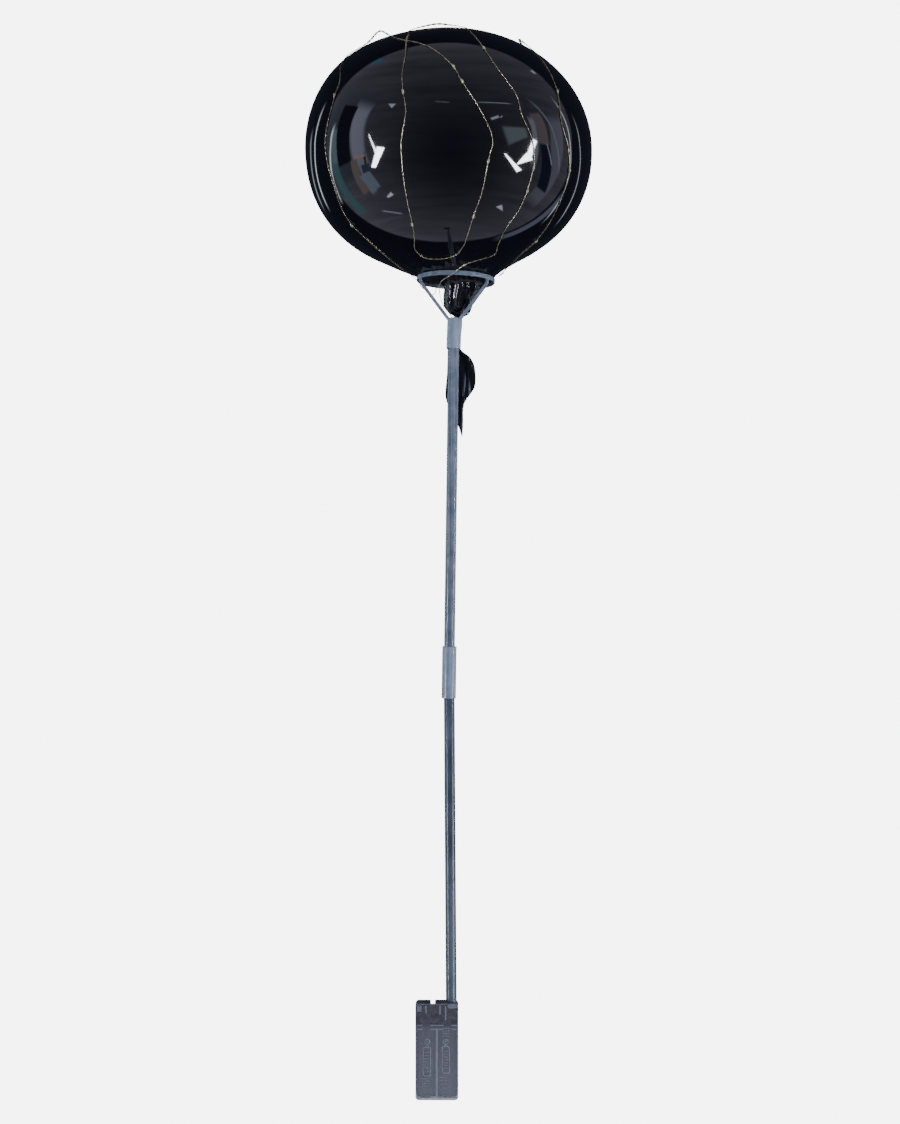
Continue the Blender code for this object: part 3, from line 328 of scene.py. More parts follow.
def tube_wall(outer, inner, low, high, soft, steps=72):
    """A plain tube wall: a rounded closed profile carried round Z."""
    return turned(rounded_profile(((outer, high), (outer, low), (inner, low), (inner, high)), (soft,) * 4), steps)


def smooth_curve(points, samples=SAMPLES_BETWEEN_POINTS):
    """A curve through points with even tangents at them, with a few samples between each two."""
    points = np.asarray(points, float)
    padded = np.concatenate([2 * points[:1] - points[1:2], points, 2 * points[-1:] - points[-2:-1]])
    before, start, end, after = (part[:, None, :] for part in (padded[:-3], padded[1:-2], padded[2:-1], padded[3:]))
    t = (np.arange(samples) / samples)[None, :, None]
    curve = 0.5 * (2 * start + (end - before) * t + (2 * before - 5 * start + 4 * end - after) * t ** 2
                   + (3 * start - before - 3 * end + after) * t ** 3)
    return np.concatenate([curve.reshape(-1, points.shape[1]), points[-1:]])


def sweep(path, across, side, profile):
    """A closed profile of (across, side) points carried along a path with its two directions at each point."""
    return (path[..., :, None, :] + profile[..., :1] * across[..., :, None, :]
            + profile[..., 1:] * side[..., :, None, :])


# ---- the film ----

def untipped(points):
    """Points of an upright frame at the ring's centre, as the tipped cup sees them."""
    x, y, z = points[..., 0], points[..., 1], points[..., 2]
    return np.stack([x, y * math.cos(CUP_TIP) - z * math.sin(CUP_TIP),
                     z * math.cos(CUP_TIP) + y * math.sin(CUP_TIP)], axis=-1)


def body_point(azimuth, polar):
    """Points of the bare body in the cup's frame: a turned oval of two powers with a fuller shoulder."""
    outward = np.stack([np.sin(azimuth), -np.cos(azimuth)])
    across, up = np.sin(polar), np.cos(polar)
    power = np.where(up > 0, TOP_POWER, BOTTOM_POWER)
    height = np.where(up > 0, BODY_TOP, BODY_BOTTOM)
    reach = ((across / BODY_RADIUS) ** power + (np.abs(up) / height) ** power) ** (-1 / power)
    points_at = np.array(SHOULDER_POINTS) / np.linalg.norm(SHOULDER_POINTS)
    towards = across * (outward[0] * points_at[0] + outward[1] * points_at[1]) + up * points_at[2]
    reach = reach * (1 + SHOULDER_SHARE * np.exp((towards - 1) / SHOULDER_SPREAD))
    x, y, z = reach * across * outward[0], reach * across * outward[1], reach * up
    lean_x = x * math.cos(BODY_LEAN) + z * math.sin(BODY_LEAN)
    lean_z = z * math.cos(BODY_LEAN) - x * math.sin(BODY_LEAN)
    return untipped(np.stack([lean_x + BODY_SHIFT, y, lean_z + BODY_BOTTOM + SEAT_RISE], axis=-1))


def mouth_point(azimuth):
    """Points just inside the ring's upper edge, where the film turns down into the cup."""
    clear = RING_BORE - GAP
    height = np.full_like(azimuth, RING_HEIGHT / 2 + GAP)
    return np.stack([clear * np.sin(azimuth), -clear * np.cos(azimuth), height], axis=-1)


def film_point(azimuth, polar):
    """Points on the film, in radians: the body down to the throat, then a bent line to the ring's mouth."""
    azimuth, polar = np.broadcast_arrays(np.asarray(azimuth, float), np.asarray(polar, float))
    start = math.radians(THROAT_POLAR)
    on_body = body_point(azimuth, np.minimum(polar, start))
    share = np.clip((polar - start) / (math.pi - start), 0.0, 1.0)[..., None]
    edge = body_point(azimuth, np.full_like(azimuth, start))
    before = body_point(azimuth, np.full_like(azimuth, start - 0.02))
    run = unit(edge - before)
    mouth = mouth_point(azimuth)
    bend = edge + run * THROAT_PULL * np.linalg.norm(mouth - edge, axis=-1, keepdims=True)
    throat = (1 - share) ** 2 * edge + 2 * share * (1 - share) * bend + share ** 2 * mouth
    return np.where(share > 0, throat, on_body)


def film_normal(azimuth, polar):
    """Outward unit normals of the film, from small steps either way."""
    step = 0.004
    polar = np.clip(polar, 0.02, math.pi - step)
    down = film_point(azimuth, polar + step) - film_point(azimuth, polar - step)
    around = film_point(azimuth + step, polar) - film_point(azimuth - step, polar)
    normal = unit(np.cross(around, down))
    outward = film_point(azimuth, polar) - untipped(np.array([BODY_SHIFT, 0.0, BODY_BOTTOM + SEAT_RISE]))
    return normal * np.sign(np.sum(normal * outward, axis=-1, keepdims=True))


def gathers(angle, depth, along):
    """How far in a gathered film is drawn at each angle: the sum of three pleatings that wander down the neck."""
    wave = (0.62 * np.abs(np.sin(4.0 * angle + 0.3 * np.sin(1.5 * along)))
            + 0.30 * np.abs(np.sin(6.5 * angle + 1.3 + 0.4 * np.sin(2.1 * along)))
            + 0.08 * np.abs(np.sin(11.0 * angle + 0.4 + 0.5 * along)))
    return 1 - depth * wave


def neck_grid(angle):
    """Rows from the ring's lower edge down to the tail's tip, and how crumpled the film is in each."""
    clear = RING_BORE - GAP
    rows = [(0.0, 0.0, MOUTH_DROP, clear, clear, 0.0, 0.0)]
    rows += [(x * clear, y * clear, -share * CUP_HEIGHT, wide * clear, deep * clear, 0.0, 0.16)
             for share, x, y, wide, deep in NECK_ROWS]
    for share, azimuth, wide, thick in PASS_ROWS:
        away, azimuth = SOCKET_RADIUS + GAP + thick, math.radians(azimuth)
        rows.append((away * math.sin(azimuth), -away * math.cos(azimuth), -CUP_HEIGHT - share * SOCKET_LENGTH,
                     wide, thick, math.pi - azimuth, 0.10))
    behind = SOCKET_RADIUS + GAP + TAIL_ROWS[0][3]
    rows += [((left + right) / 2, behind + (drop + SOCKET_GRIP / 2) * math.tan(CUP_TIP),
              -CUP_HEIGHT - SOCKET_LENGTH - drop, (right - left) / 2, thick, 0.0, 0.05)
             for drop, left, right, thick in TAIL_ROWS]
    table = smooth_curve(rows, 6)[:, :, None]
    middle_x, middle_y, height, wide, deep, turn, pleats = (table[:, i] for i in range(7))
    along = -height / 0.010
    size = gathers(angle[None, :], pleats, along)
    x = wide * size * np.sin(angle)
    y = -deep * size * np.cos(angle)
    # the free tail waves a little across its width
    free = np.clip((-height - CUP_HEIGHT - SOCKET_LENGTH) / 0.008, 0, 1)
    y = y + free * 0.0005 * np.sin(x / 0.0023 + along * 0.35) + free * 0.0003
    return np.stack([middle_x + x * np.cos(turn) + y * np.sin(turn),
                     middle_y + y * np.cos(turn) - x * np.sin(turn),
                     np.broadcast_to(height, x.shape)], axis=-1)


def film_grid(columns=240, body_rows=150, throat_rows=36):
    """The whole film: body, pleated throat, gathered neck and tail, with a flat spot where it rests."""
    angle, throat = round_angles(columns), math.radians(THROAT_POLAR)
    polar = np.concatenate([np.linspace(0.004, throat, body_rows)[:-1], np.linspace(throat, math.pi, throat_rows)])
    body = film_point(angle[None, :], polar[:, None])
    drawn = np.clip((polar[:, None] - throat * 0.93) / (math.pi - throat * 0.93), 0, 1) ** 2
    pleat = (np.sin(17 * angle) * 0.6 + np.sin(29 * angle + 1.1) * 0.4)[None, :] * drawn * (1 - drawn ** 6)
    body = body + film_normal(angle[None, :], polar[:, None]) * (pleat * PLEAT_DEPTH)[..., None]
    grid = lay(np.concatenate([body, neck_grid(angle)]), CUP)
    grid[..., 2] = np.maximum(grid[..., 2], 0.0)
    return grid


# ---- the lamp string ----

def strand(points):
    """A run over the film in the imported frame: its line, the film's normals, the lamps' flags and the lift."""
    table = np.array([(*row, 0, 0)[:4] for row in points], float)
    dense = smooth_curve(table[:, :3])
    azimuth, polar, lift = np.radians(dense[:, 0]), np.radians(dense[:, 1]), np.maximum(dense[:, 2], 0) / 1000
    lamps = np.zeros(len(dense), bool)
    lamps[::SAMPLES_BETWEEN_POINTS] = table[:, 3] > 0
    normal = film_normal(azimuth, polar)
    line = lay(film_point(azimuth, polar) + normal * (lift + WIRE_REST)[:, None], CUP)
    return line, normal @ (LAID @ CUP[0]).T, lamps, lift


def free_run(before, points, after):
    """A run through the air inside the cup: smooth between the ends of its neighbours."""
    whole = np.concatenate([np.atleast_2d(before), lay(points, CUP), np.atleast_2d(after)])
    return smooth_curve(whole)[SAMPLES_BETWEEN_POINTS:-SAMPLES_BETWEEN_POINTS]


def tube_run():
    """The string from the box's circuit space up both tubes, waving gently inside them."""
    low = np.linspace(STUB_LENGTH + GAP, LOWER_TUBE_LENGTH, 12)
    high = np.linspace(JOINT_SPACE, UPPER_TUBE_LENGTH - SOCKET_GRIP, 12)
    run = [lay(BOX_RUN), lay([(0.0, 0.0, height) for height in np.linspace(-RECESS_DEPTH, STUB_LENGTH, 4)], LOWER)]
    for axis, heights in ((LOWER, low), (UPPER, high)):
        phase = 2 * math.pi * heights / WIRE_WAVE_PITCH
        ease = np.clip(np.minimum(heights - heights[0], heights[-1] - heights) / WIRE_WAVE_PITCH * 4, 0, 1)
        run.append(lay(np.stack([WIRE_WAVE * ease * np.sin(phase), WIRE_WAVE * ease * np.cos(phase * 0.8),
                                 heights], axis=-1), axis))
    return smooth_curve(np.concatenate(run + [lay(CUP_RUN[:1], CUP)]))


def string_route():
    """The whole string at even steps: points, outward directions, distances along it, the
    lamps' distances, and how free of the film it is."""
    front, front_normal, front_lamps, front_lift = strand(FRONT_STRANDS)
    back, back_normal, back_lamps, back_lift = strand(BACK_STRANDS)
    inside = tube_run()
    cup_line = free_run(inside[-2], CUP_RUN, front[1])
    side_line = free_run(front[-2], SIDE_RUN, back[1])
    tube_lamps = np.zeros(len(inside), bool)
    standing_height = (inside - FOOT) @ LAID
    tube_lamps[np.abs(standing_height[:, 2] - TUBE_LAMP).argmin()] = True
    plain = np.array([1.0, 0.0, 0.0])
    share = np.linspace(0, 1, len(cup_line))[:, None]
    turn_side = np.linspace(0, 1, len(side_line))[:, None]
    runs = (
        (inside[:-1], np.broadcast_to(plain, inside[:-1].shape), tube_lamps[:-1]),
        (cup_line, plain * (1 - share) + front_normal[0] * share, np.zeros(len(cup_line), bool)),
        (front, front_normal, front_lamps),
        (side_line, front_normal[-1] * (1 - turn_side) + back_normal[0] * turn_side + plain * 0.2,
         np.zeros(len(side_line), bool)),
        (back, back_normal, back_lamps),
    )
    line, outward, lamps = (np.concatenate([run[part] for run in runs]) for part in range(3))
    on_film = np.concatenate([np.full(len(run[0]), float(number in (2, 4))) for number, run in enumerate(runs)])
    free = np.concatenate([np.zeros(len(inside) - 1), np.zeros(len(cup_line)), front_lift, np.zeros(len(side_line)),
                           back_lift])
    along = np.concatenate([[0.0], np.cumsum(np.linalg.norm(np.diff(line, axis=0), axis=1))])
    at_lamps = along[lamps]
    stations = np.linspace(0.0, along[-1], int(along[-1] / WIRE_STEP) + 1)

    def at(values):
        return np.stack([np.interp(stations, along, values[:, axis]) for axis in range(values.shape[1])], axis=-1)

    points, outward = at(line), at(outward)
    # the wire rises over the film at each lamp, whose drop lies on the film
    near = np.abs(stations[:, None] - at_lamps[None, :]).min(axis=1)
    rise = np.exp(-(near / (DROP_LENGTH * 0.62)) ** 2) * np.interp(stations, along, on_film)
    points = points + outward * (rise * (DROP_DIAMETER / 2 - WIRE_REST))[:, None]
    loose = np.clip((np.interp(stations, along, free) - LOOSE_FROM) / LOOSE_OVER, 0, 1)
    return points, outward, stations, at_lamps, loose


def directions(points, outward):
    """Unit directions along a line, outwards square to it, and sideways."""
    ahead = unit(np.gradient(points, axis=0))
    outward = unit(outward - ahead * np.sum(outward * ahead, axis=1, keepdims=True))
    return ahead, outward, np.cross(ahead, outward)


def circle(radius, steps):
    """A round profile."""
    angle = round_angles(steps)
    return np.stack([radius * np.cos(angle), radius * np.sin(angle)], axis=-1)


def build_string(wire_look, drop_look, chip_look):
    """Two twisted cores, a clear drop on them at each lamp, and a small chip in each drop."""
    points, outward, stations, at_lamps, loose = string_route()
    ahead, outward, side = directions(points, outward)
    twist = stations * 2 * math.pi / CORE_PITCH
    near = np.abs(stations[:, None] - at_lamps[None, :]).min(axis=1)
    spread = CORE_SPREAD + BULGE_SPREAD * np.exp(-(near / BULGE_LENGTH) ** 2) + loose * LOOSE_SPREAD
    shape = circle(1.0, 6)[None] * (CORE_RADIUS + loose * LOOSE_RADIUS)[:, None, None]
    cores = []
    for half in (0.0, math.pi):
        core = points + ((np.cos(twist + half) * spread)[:, None] * outward
                         + (np.sin(twist + half) * spread)[:, None] * side)
        _, across, beside = directions(core, outward)
        cores.append(capped(sweep(core, across, beside, shape)))
    wire = piece("lamp_wire", cores, wire_look)

    at = np.array([np.abs(stations - place).argmin() for place in at_lamps])
    middle, ahead, outward, side = (rows[at][:, None, :] for rows in (points, ahead, outward, side))
    share = -np.cos(np.linspace(0.0, math.pi, 15))
    radius = DROP_DIAMETER / 2 * (1 - np.abs(share) ** 2.3) ** 0.62 * (1 - 0.10 * share)
    line = middle + (share * DROP_LENGTH / 2)[:, None] * ahead
    drop = piece("lamp_drops", [sweep(line, outward, side, radius[:, None, None] * circle(1.0, 16))], drop_look)

    # chip: a rounded block, as a ball whose corners are drawn out by a power under one
    def drawn(value):
        return np.sign(value) * np.abs(value) ** 0.45

    polar, angle = np.linspace(0.0, math.pi, 9), round_angles(12)
    line = middle + (CHIP_LENGTH / 2 * drawn(np.cos(polar)))[:, None] * ahead
    block = np.stack([CHIP_THICKNESS / 2 * drawn(np.sin(polar))[:, None] * drawn(np.cos(angle)),
                      CHIP_WIDTH / 2 * drawn(np.sin(polar))[:, None] * drawn(np.sin(angle))], axis=-1)
    chip = piece("lamp_chips", [sweep(line, outward, side, block)], chip_look)
    return wire, drop, chip


# ---- cup ----

def leg_grid(number):
    """One leg: a rounded bar along a path that drops from the ring and slants to the socket's rim."""
    ring_middle = RING_RADIUS - RING_THICKNESS / 2
    foot = (SOCKET_RADIUS - SOCKET_WALL / 3, -CUP_HEIGHT - LEG_THICKNESS / 2)
    corners = np.array([(ring_middle, RING_HEIGHT / 2 - LEG_UNDER_RIM), (ring_middle, -LEG_DROP + LEG_BEND),
                        (ring_middle - LEG_TUCK, -LEG_DROP + LEG_TUCK), (ring_middle - LEG_BEND, -LEG_DROP - LEG_BEND),
                        (foot[0] * 0.5 + ring_middle * 0.5, foot[1] * 0.5 - LEG_DROP * 0.5), foot])
    path = smooth_curve(corners, 8)
    ahead = unit(np.gradient(path, axis=0))
    out_radius, out_height = -ahead[:, 1], ahead[:, 0]
    azimuth = math.radians(LEG_FIRST_AZIMUTH + number * 360 / LEG_COUNT)
    outward = np.array([math.sin(azimuth), -math.cos(azimuth), 0.0])
    along = np.array([math.cos(azimuth), math.sin(azimuth), 0.0])
    line = path[:, :1] * outward + path[:, 1:] * UP
    across = out_radius[:, None] * outward + out_height[:, None] * UP
    thick = np.interp(path[:, 1], [-LEG_DROP - 0.003, -LEG_DROP + 0.002],
                      [LEG_THICKNESS, RING_THICKNESS - LEG_TUCK]) / LEG_THICKNESS
    half_w, half_t = LEG_WIDTH / 2, LEG_THICKNESS / 2
    profile = rounded_profile(((half_t, half_w), (-half_t, half_w), (-half_t, -half_w), (half_t, -half_w)),
                              (LEG_ROUND,) * 4, 3)
    shape = profile * np.stack([thick, np.ones_like(thick)], axis=-1)[:, None, :]
    return capped(sweep(line, across, along[None], shape))


def joined(name, parts, look, sharp=32):
    """Several closed pieces made one solid, with no walls left inside."""
    first, others = parts[0], parts[1:]
    for other in others:
        step = first.modifiers.new("join", "BOOLEAN")
        step.operation = "UNION"
        step.solver = "EXACT"
        step.object = other
    shown = first.evaluated_get(bpy.context.evaluated_depsgraph_get())
    mesh = bpy.data.meshes.new_from_object(shown)
    for part in parts:
        bpy.data.objects.remove(part)
    mesh.materials.clear()
    mesh.materials.append(look)
    return finished(name, mesh, sharp)


def build_cup(look):
    """The cup as one moulding: socket with a soft rim, band of the ring, and three legs."""
    foot = -CUP_HEIGHT - SOCKET_LENGTH
    socket = tube_wall(SOCKET_RADIUS, SOCKET_BORE, foot, -CUP_HEIGHT, 0.0003)
    ring = tube_wall(RING_RADIUS, RING_BORE, -RING_HEIGHT / 2, RING_HEIGHT / 2, 0.00045, 144)
    parts = [piece(f"cup_part_{number}", [lay(grid, CUP)])
             for number, grid in enumerate((socket, ring, *(leg_grid(i) for i in range(LEG_COUNT))))]
    return joined("balloon_cup_moulding", parts, look)


# ---- finishes ----

class Nodes:
    """A node tree, with short ways to its nodes."""

    def __init__(self, owner):
        owner.use_nodes = True
        self.nodes, self.links = owner.node_tree.nodes, owner.node_tree.links

    def node(self, kind, inputs=(), **settings):
        """A node with its settings, and inputs by number or name that are plain values or other nodes' outputs."""
        made = self.nodes.new("ShaderNode" + kind)
        for name, value in settings.items():
            setattr(made, name, value)
        for key, value in inputs.items() if isinstance(inputs, dict) else enumerate(inputs):
            if isinstance(value, bpy.types.NodeSocket):
                self.links.new(value, made.inputs[key])
            else:
                made.inputs[key].default_value = value
        return made

    def noise(self, vector, scale, detail=3.0, rough=0.5, distortion=0.0):
        """Fractal noise from 0 to 1."""
        return self.node("TexNoise", {"Vector": vector, "Scale": scale, "Detail": detail, "Roughness": rough,
                                      "Distortion": distortion}).outputs[0]

    def spread(self, value, low, high, to_low=0.0, to_high=1.0, **settings):
        """A value's range carried to another range."""
        return self.node("MapRange", (value, low, high, to_low, to_high), **settings).outputs[0]

    def blend(self, factor, first, second, blend_type="MIX"):
        """Two colours, mixed by a factor."""
        first, second = ((*one, 1.0) if isinstance(one, tuple) else one for one in (first, second))
        return self.node("Mix", {0: factor, 6: first, 7: second}, data_type="RGBA", blend_type=blend_type).outputs[2]

    def maths(self, operation, first, second=0.0, third=0.0):
        """One sum of values."""
        return self.node("Math", (first, second, third), operation=operation).outputs[0]

    def weigh(self, first, share, second, other_share):
        """Two values, each times its share, added."""
        return self.maths("ADD", self.maths("MULTIPLY", first, share), self.maths("MULTIPLY", second, other_share))


class Look(Nodes):
    """A node material round one Principled shader."""

    def __init__(self, name, colour, roughness, **values):
        self.material = bpy.data.materials.new(name)
        super().__init__(self.material)
        self.shader = self.nodes["Principled BSDF"]
        self.shader.inputs["Base Color"].default_value = (*colour, 1.0)
        self.shader.inputs["Roughness"].default_value = roughness
        for socket, value in values.items():
            self.shader.inputs[socket.replace("_", " ")].default_value = value

    def place(self, scale=(1.0, 1.0, 1.0), turn=(0.0, 0.0, 0.0)):
        """Object coordinates, turned and then stretched."""
        spot = self.node("TexCoord").outputs["Object"]
        turned_to = self.node("Mapping", {"Vector": spot, "Rotation": turn}, vector_type="POINT").outputs[0]
        return self.node("Mapping", {"Vector": turned_to, "Scale": scale}, vector_type="POINT").outputs[0]

    def drawn_out(self, streak, pull, detail, rough=0.5, distortion=0.0):
        """Noise drawn out along the stick: how fine it is across it, and along it."""
        return self.noise(self.place((streak, streak, pull), ALONG_STICK), 1.0, detail, rough, distortion)

    def height(self):
        """The height along the stick."""
        return self.node("SeparateXYZ", (self.place((1.0, 1.0, 1.0), ALONG_STICK),)).outputs[2]

    def set(self, socket, value):
        """Feeds a socket of the shader."""
        self.links.new(value, self.shader.inputs[socket])

    def scuffed(self, value, roughness, most):
        """Roughness that varies between 0.8 and a few times its own value."""
        self.set("Roughness", self.spread(value, 0.35, 0.75, roughness * 0.8, roughness * most))

    def bump(self, height, strength, distance):
        """Relief from a height."""
        self.set("Normal", self.node("Bump", {"Strength": strength, "Distance": distance, "Height": height}).outputs[0])


def times(colour, share):
    """A colour made lighter or darker."""
    return tuple(value * share for value in colour)


ALONG_STICK = (math.pi / 2 - RISE, 0.0, 0.0)
# heights along the stick, from the frame's origin: the socket's rim and the bays' upper end
SOCKET_RIM = float(lay((0.0, 0.0, -CUP_HEIGHT), CUP) @ (LAID @ UP))
CIRCUIT_FLOOR = float(lay((0.0, 0.0, BAYS_TOP)) @ (LAID @ UP))


def film_look():
    """Thin black film, wet-looking, with fine crumples in the neck and tail, and painted highlights there: pale streaks
    in its colour along the folds, strongest in the tail.
    """
    look = Look("black_film", (0.004, 0.004, 0.007), 0.05, Specular_IOR_Level=0.5)
    spot = look.place()
    plain = look.blend(look.noise(spot, 11.0, 2.0), (0.0012, 0.0012, 0.0022), (0.0035, 0.0035, 0.0060))
    crumple = look.node("Attribute", attribute_name="crumple").outputs["Fac"]
    # painted highlights along the folds: pale streaks laid into the base colour where the film is crumpled, fullest in
    # the tail
    lines = look.spread(look.drawn_out(520.0, 22.0, 2.0, 0.5, 0.5), 0.585, 0.66)
    in_tail = look.spread(look.height(), SOCKET_RIM - 0.020, SOCKET_RIM + 0.004, 1.0, 0.30)
    fold_highlights = look.maths("MULTIPLY", look.maths("MULTIPLY", lines, crumple), in_tail)
    look.set("Base Color", look.blend(fold_highlights, plain, (0.085, 0.100, 0.125)))
    fine = look.drawn_out(240.0, 34.0, 2.0, 0.5, 0.6)
    broad = look.noise(spot, 16.0, 2.0, 0.5)
    look.bump(look.weigh(fine, look.maths("MULTIPLY", crumple, 0.30), broad, 0.5), 0.30, 0.0008)
    look.set("Roughness", look.spread(look.noise(spot, 60.0, 3.0), 0.3, 0.8, 0.035, 0.07))
    return look.material


def clear_look(name, dark, light, alpha, roughness, streak=620.0, relief=0.00005, milky_below=None):
    """Extruded or moulded clear plastic: colour drawn out along the stick, faint scuffs and dust.

    Below a height along the stick it can be milkier, where another wall lies behind it.
    """
    look = Look(name, light, roughness, Alpha=alpha, Specular_IOR_Level=0.15)
    drawn = look.drawn_out(streak, 6.0, 3.0, 0.55)
    mixed = look.spread(look.weigh(drawn, 0.65, look.noise(look.place(), 55.0, 3.0, 0.6), 0.35), 0.36, 0.64)
    colour = look.blend(mixed, dark, light)
    if milky_below is not None:
        milky = look.blend(mixed, times(dark, 1.75), times(light, 1.75))
        colour = look.blend(look.spread(look.height(), milky_below - 0.001, milky_below + 0.002), milky, colour)
    look.set("Base Color", colour)
    look.scuffed(look.drawn_out(1500.0, 160.0, 3.0, 0.7), roughness, 1.7)
    look.bump(drawn, 0.4, relief)
    return look.material


def spotted_look(name, colour, roughness, grain, dark, light, relief=None, **values):
    """The string's small parts: two colours mixed by fine spots, and grain as relief where it is given."""
    look = Look(name, colour, roughness, **values)
    scale, detail, low, high = grain
    look.set("Base Color", look.blend(look.spread(look.noise(look.place(), scale, detail), low, high), dark, light))
    if relief:
        look.bump(look.noise(look.place(), relief[0], 2.0), 0.3, relief[1])
    return look.material


# ---- building ----

def dress(thing, node):
    """Hangs a piece under the root body and hides the solid that it stands for."""
    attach(thing, "root")
    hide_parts(node)
    return thing


def add_crumple(thing):
    """Marks how crumpled the film is at each point: nothing on the body, fully in the neck and tail."""
    mesh = thing.data
    points = np.empty(len(mesh.vertices) * 3, np.float32)
    mesh.vertices.foreach_get("co", points)
    in_cup = ((points.reshape(-1, 3) - FOOT) @ LAID - CUP[1]) @ CUP[0]
    value = np.clip((0.012 - in_cup[:, 2]) / 0.016, 0, 1) ** 1.5
    layer = mesh.attributes.new("crumple", "FLOAT", "POINT")
    layer.data.foreach_set("value", value.astype(np.float32))


film = dress(piece("balloon_film", [capped(film_grid())], film_look()), "balloon")
add_crumple(film)

# Plain tubes: node, slot, frame, outer and inner radius, from, to, edge round, finish
for node, slot, axis, outer, inner, low, high, edge, finish in (
        ("lower_tube", "tube_plastic", LOWER, TUBE_RADIUS, TUBE_BORE, 0.0, LOWER_TUBE_LENGTH, 0.0002,
         ("dark_tube", (0.022, 0.030, 0.044), (0.066, 0.085, 0.114), 0.985, 0.22, 300.0, 0.00002)),
        ("upper_tube", "tube_plastic", UPPER, TUBE_RADIUS, TUBE_BORE, JOINT_SPACE, JOINT_SPACE + UPPER_TUBE_LENGTH,
         0.0002, ("smoky_tube", (0.040, 0.054, 0.078), (0.150, 0.178, 0.226), 0.94, 0.12)),
        ("joint_sleeve", "sleeve_plastic", UPPER, SLEEVE_BORE + SLEEVE_WALL, SLEEVE_BORE, -SLEEVE_BELOW_JOINT,
         SLEEVE_LENGTH - SLEEVE_BELOW_JOINT, 0.0003,
         ("milky_sleeve", (0.070, 0.098, 0.142), (0.185, 0.230, 0.294), 0.93, 0.16, 420.0))):
    wall = lay(tube_wall(outer, inner, low, high, edge), axis)
    dress(piece(node + "_wall", [wall], clear_look(*finish), 40), node)

dress(build_cup(clear_look("slate_cup", (0.068, 0.087, 0.114), (0.112, 0.140, 0.177), 0.94, 0.22, 300.0,
                           milky_below=SOCKET_RIM)), "balloon_cup")

wire_look = spotted_look("varnished_wire", (0.36, 0.32, 0.21), 0.30, (210.0, 3.0, 0.35, 0.65), (0.17, 0.15, 0.095),
                         (0.42, 0.38, 0.27), (900.0, 0.00004), Metallic=0.75)
drop_look = spotted_look("lamp_resin", (0.42, 0.44, 0.32), 0.12, (480.0, 2.0, 0.0, 1.0), (0.26, 0.29, 0.17),
                         (0.50, 0.52, 0.42), (620.0, 0.0001), Alpha=0.40, Specular_IOR_Level=0.6)
chip_look = spotted_look("lamp_chip", (0.50, 0.50, 0.16), 0.45, (1400.0, 2.0, 0.0, 1.0), (0.38, 0.40, 0.09),
                         (0.60, 0.58, 0.22))
for part in build_string(wire_look, drop_look, chip_look):
    dress(part, "led_string")


def box_copy(node, name, looks):
    """A copy of a box part with its doubles merged and its flat faces whole again.

    The second finish goes on both sides of the front wall, through which the ribs behind it show.
    """
    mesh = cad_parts[node].data.copy()
    mesh.materials.clear()
    for look in looks:
        mesh.materials.append(look)
    bm = bmesh.new()
    bm.from_mesh(mesh)
    bmesh.ops.remove_doubles(bm, verts=bm.verts, dist=0.000002)
    bmesh.ops.dissolve_limit(bm, angle_limit=math.radians(1.0), verts=bm.verts, edges=bm.edges)
    back = LAID @ BACKWARDS
    for face in bm.faces:
        depth = float((np.array(face.calc_center_median()) - FOOT) @ back)
        square = abs(float(np.array(face.normal) @ back)) > 0.99
        face.material_index = int(len(looks) > 1 and square and depth < BOX_WALL + 0.0001 - BOX_DEPTH / 2)
    bm.to_mesh(mesh)
    bm.free()
    return finished(name, mesh, 30)


def ridge(path, closed, width=0.00042, height=0.00016):
    """A low raised line on the box's front: a flat-topped profile carried along a path of (x, z) points."""
    path = np.asarray(path, float)
    ahead = unit(np.roll(path, -1, axis=0) - np.roll(path, 1, axis=0) if closed else np.gradient(path, axis=0))
    side = np.stack([-ahead[:, 1], ahead[:, 0]], axis=-1)
    profile = np.array([(-0.5, -0.3), (-0.5, 0.4), (-0.3, 1.0), (0.3, 1.0), (0.5, 0.4), (0.5, -0.3)])
    flat = path[:, None, :] + profile[None, :, :1] * width * side[:, None, :]
    out = np.broadcast_to(-BOX_DEPTH / 2 - profile[:, 1] * height, flat.shape[:2])
    grid = lay(np.stack([flat[..., 0], out, flat[..., 1]], axis=-1))
    return np.concatenate([grid, grid[:1]]) if closed else capped(grid)


def bar_path(start, end):
    """A straight path of a few points."""
    share = np.linspace(0.0, 1.0, 3)[:, None]
    return (1 - share) * np.array(start) + share * np.array(end)


def outline_path(left, right, low, high, radius, steps=4):
    """A rounded rectangle as a closed path."""
    return rounded_profile(((left, low), (right, low), (right, high), (left, high)), (radius,) * 4, steps)


def stroke_rows(left, right, low, high, rows, strokes):
    """Rows of short shallow strokes where the moulding has raised small print."""
    grids = []
    for row, z in enumerate(np.linspace(high, low, rows)):
        edges = np.linspace(left, right, strokes + 1)
        for number in range(strokes):
            length = (edges[number + 1] - edges[number]) * (0.45 + 0.25 * ((row + 2 * number) % 3) / 2)
            grids.append(ridge(bar_path((edges[number], z), (edges[number] + length, z)), False, 0.0005))
    return grids


# Marks on the box's front, in (x, z): signs' middles, with the plus second; cells' outlines; rows of strokes
SIGNS, SIGN_CIRCLE, SIGN_ARM = ((-0.0196, 0.0480), (-0.0046, 0.0480)), 0.0021, 0.0011
CELL_OUTLINES = ((-0.0230, -0.0168, 0.0201, 0.0433), (-0.0074, -0.0015, 0.0225, 0.0441))
STROKES = ((-0.0239, -0.0174, 0.0119, 0.0180, 4, 4), (-0.0093, -0.0027, 0.0135, 0.0190, 3, 4),
           (-0.0068, -0.0011, 0.0527, 0.0590, 4, 3))


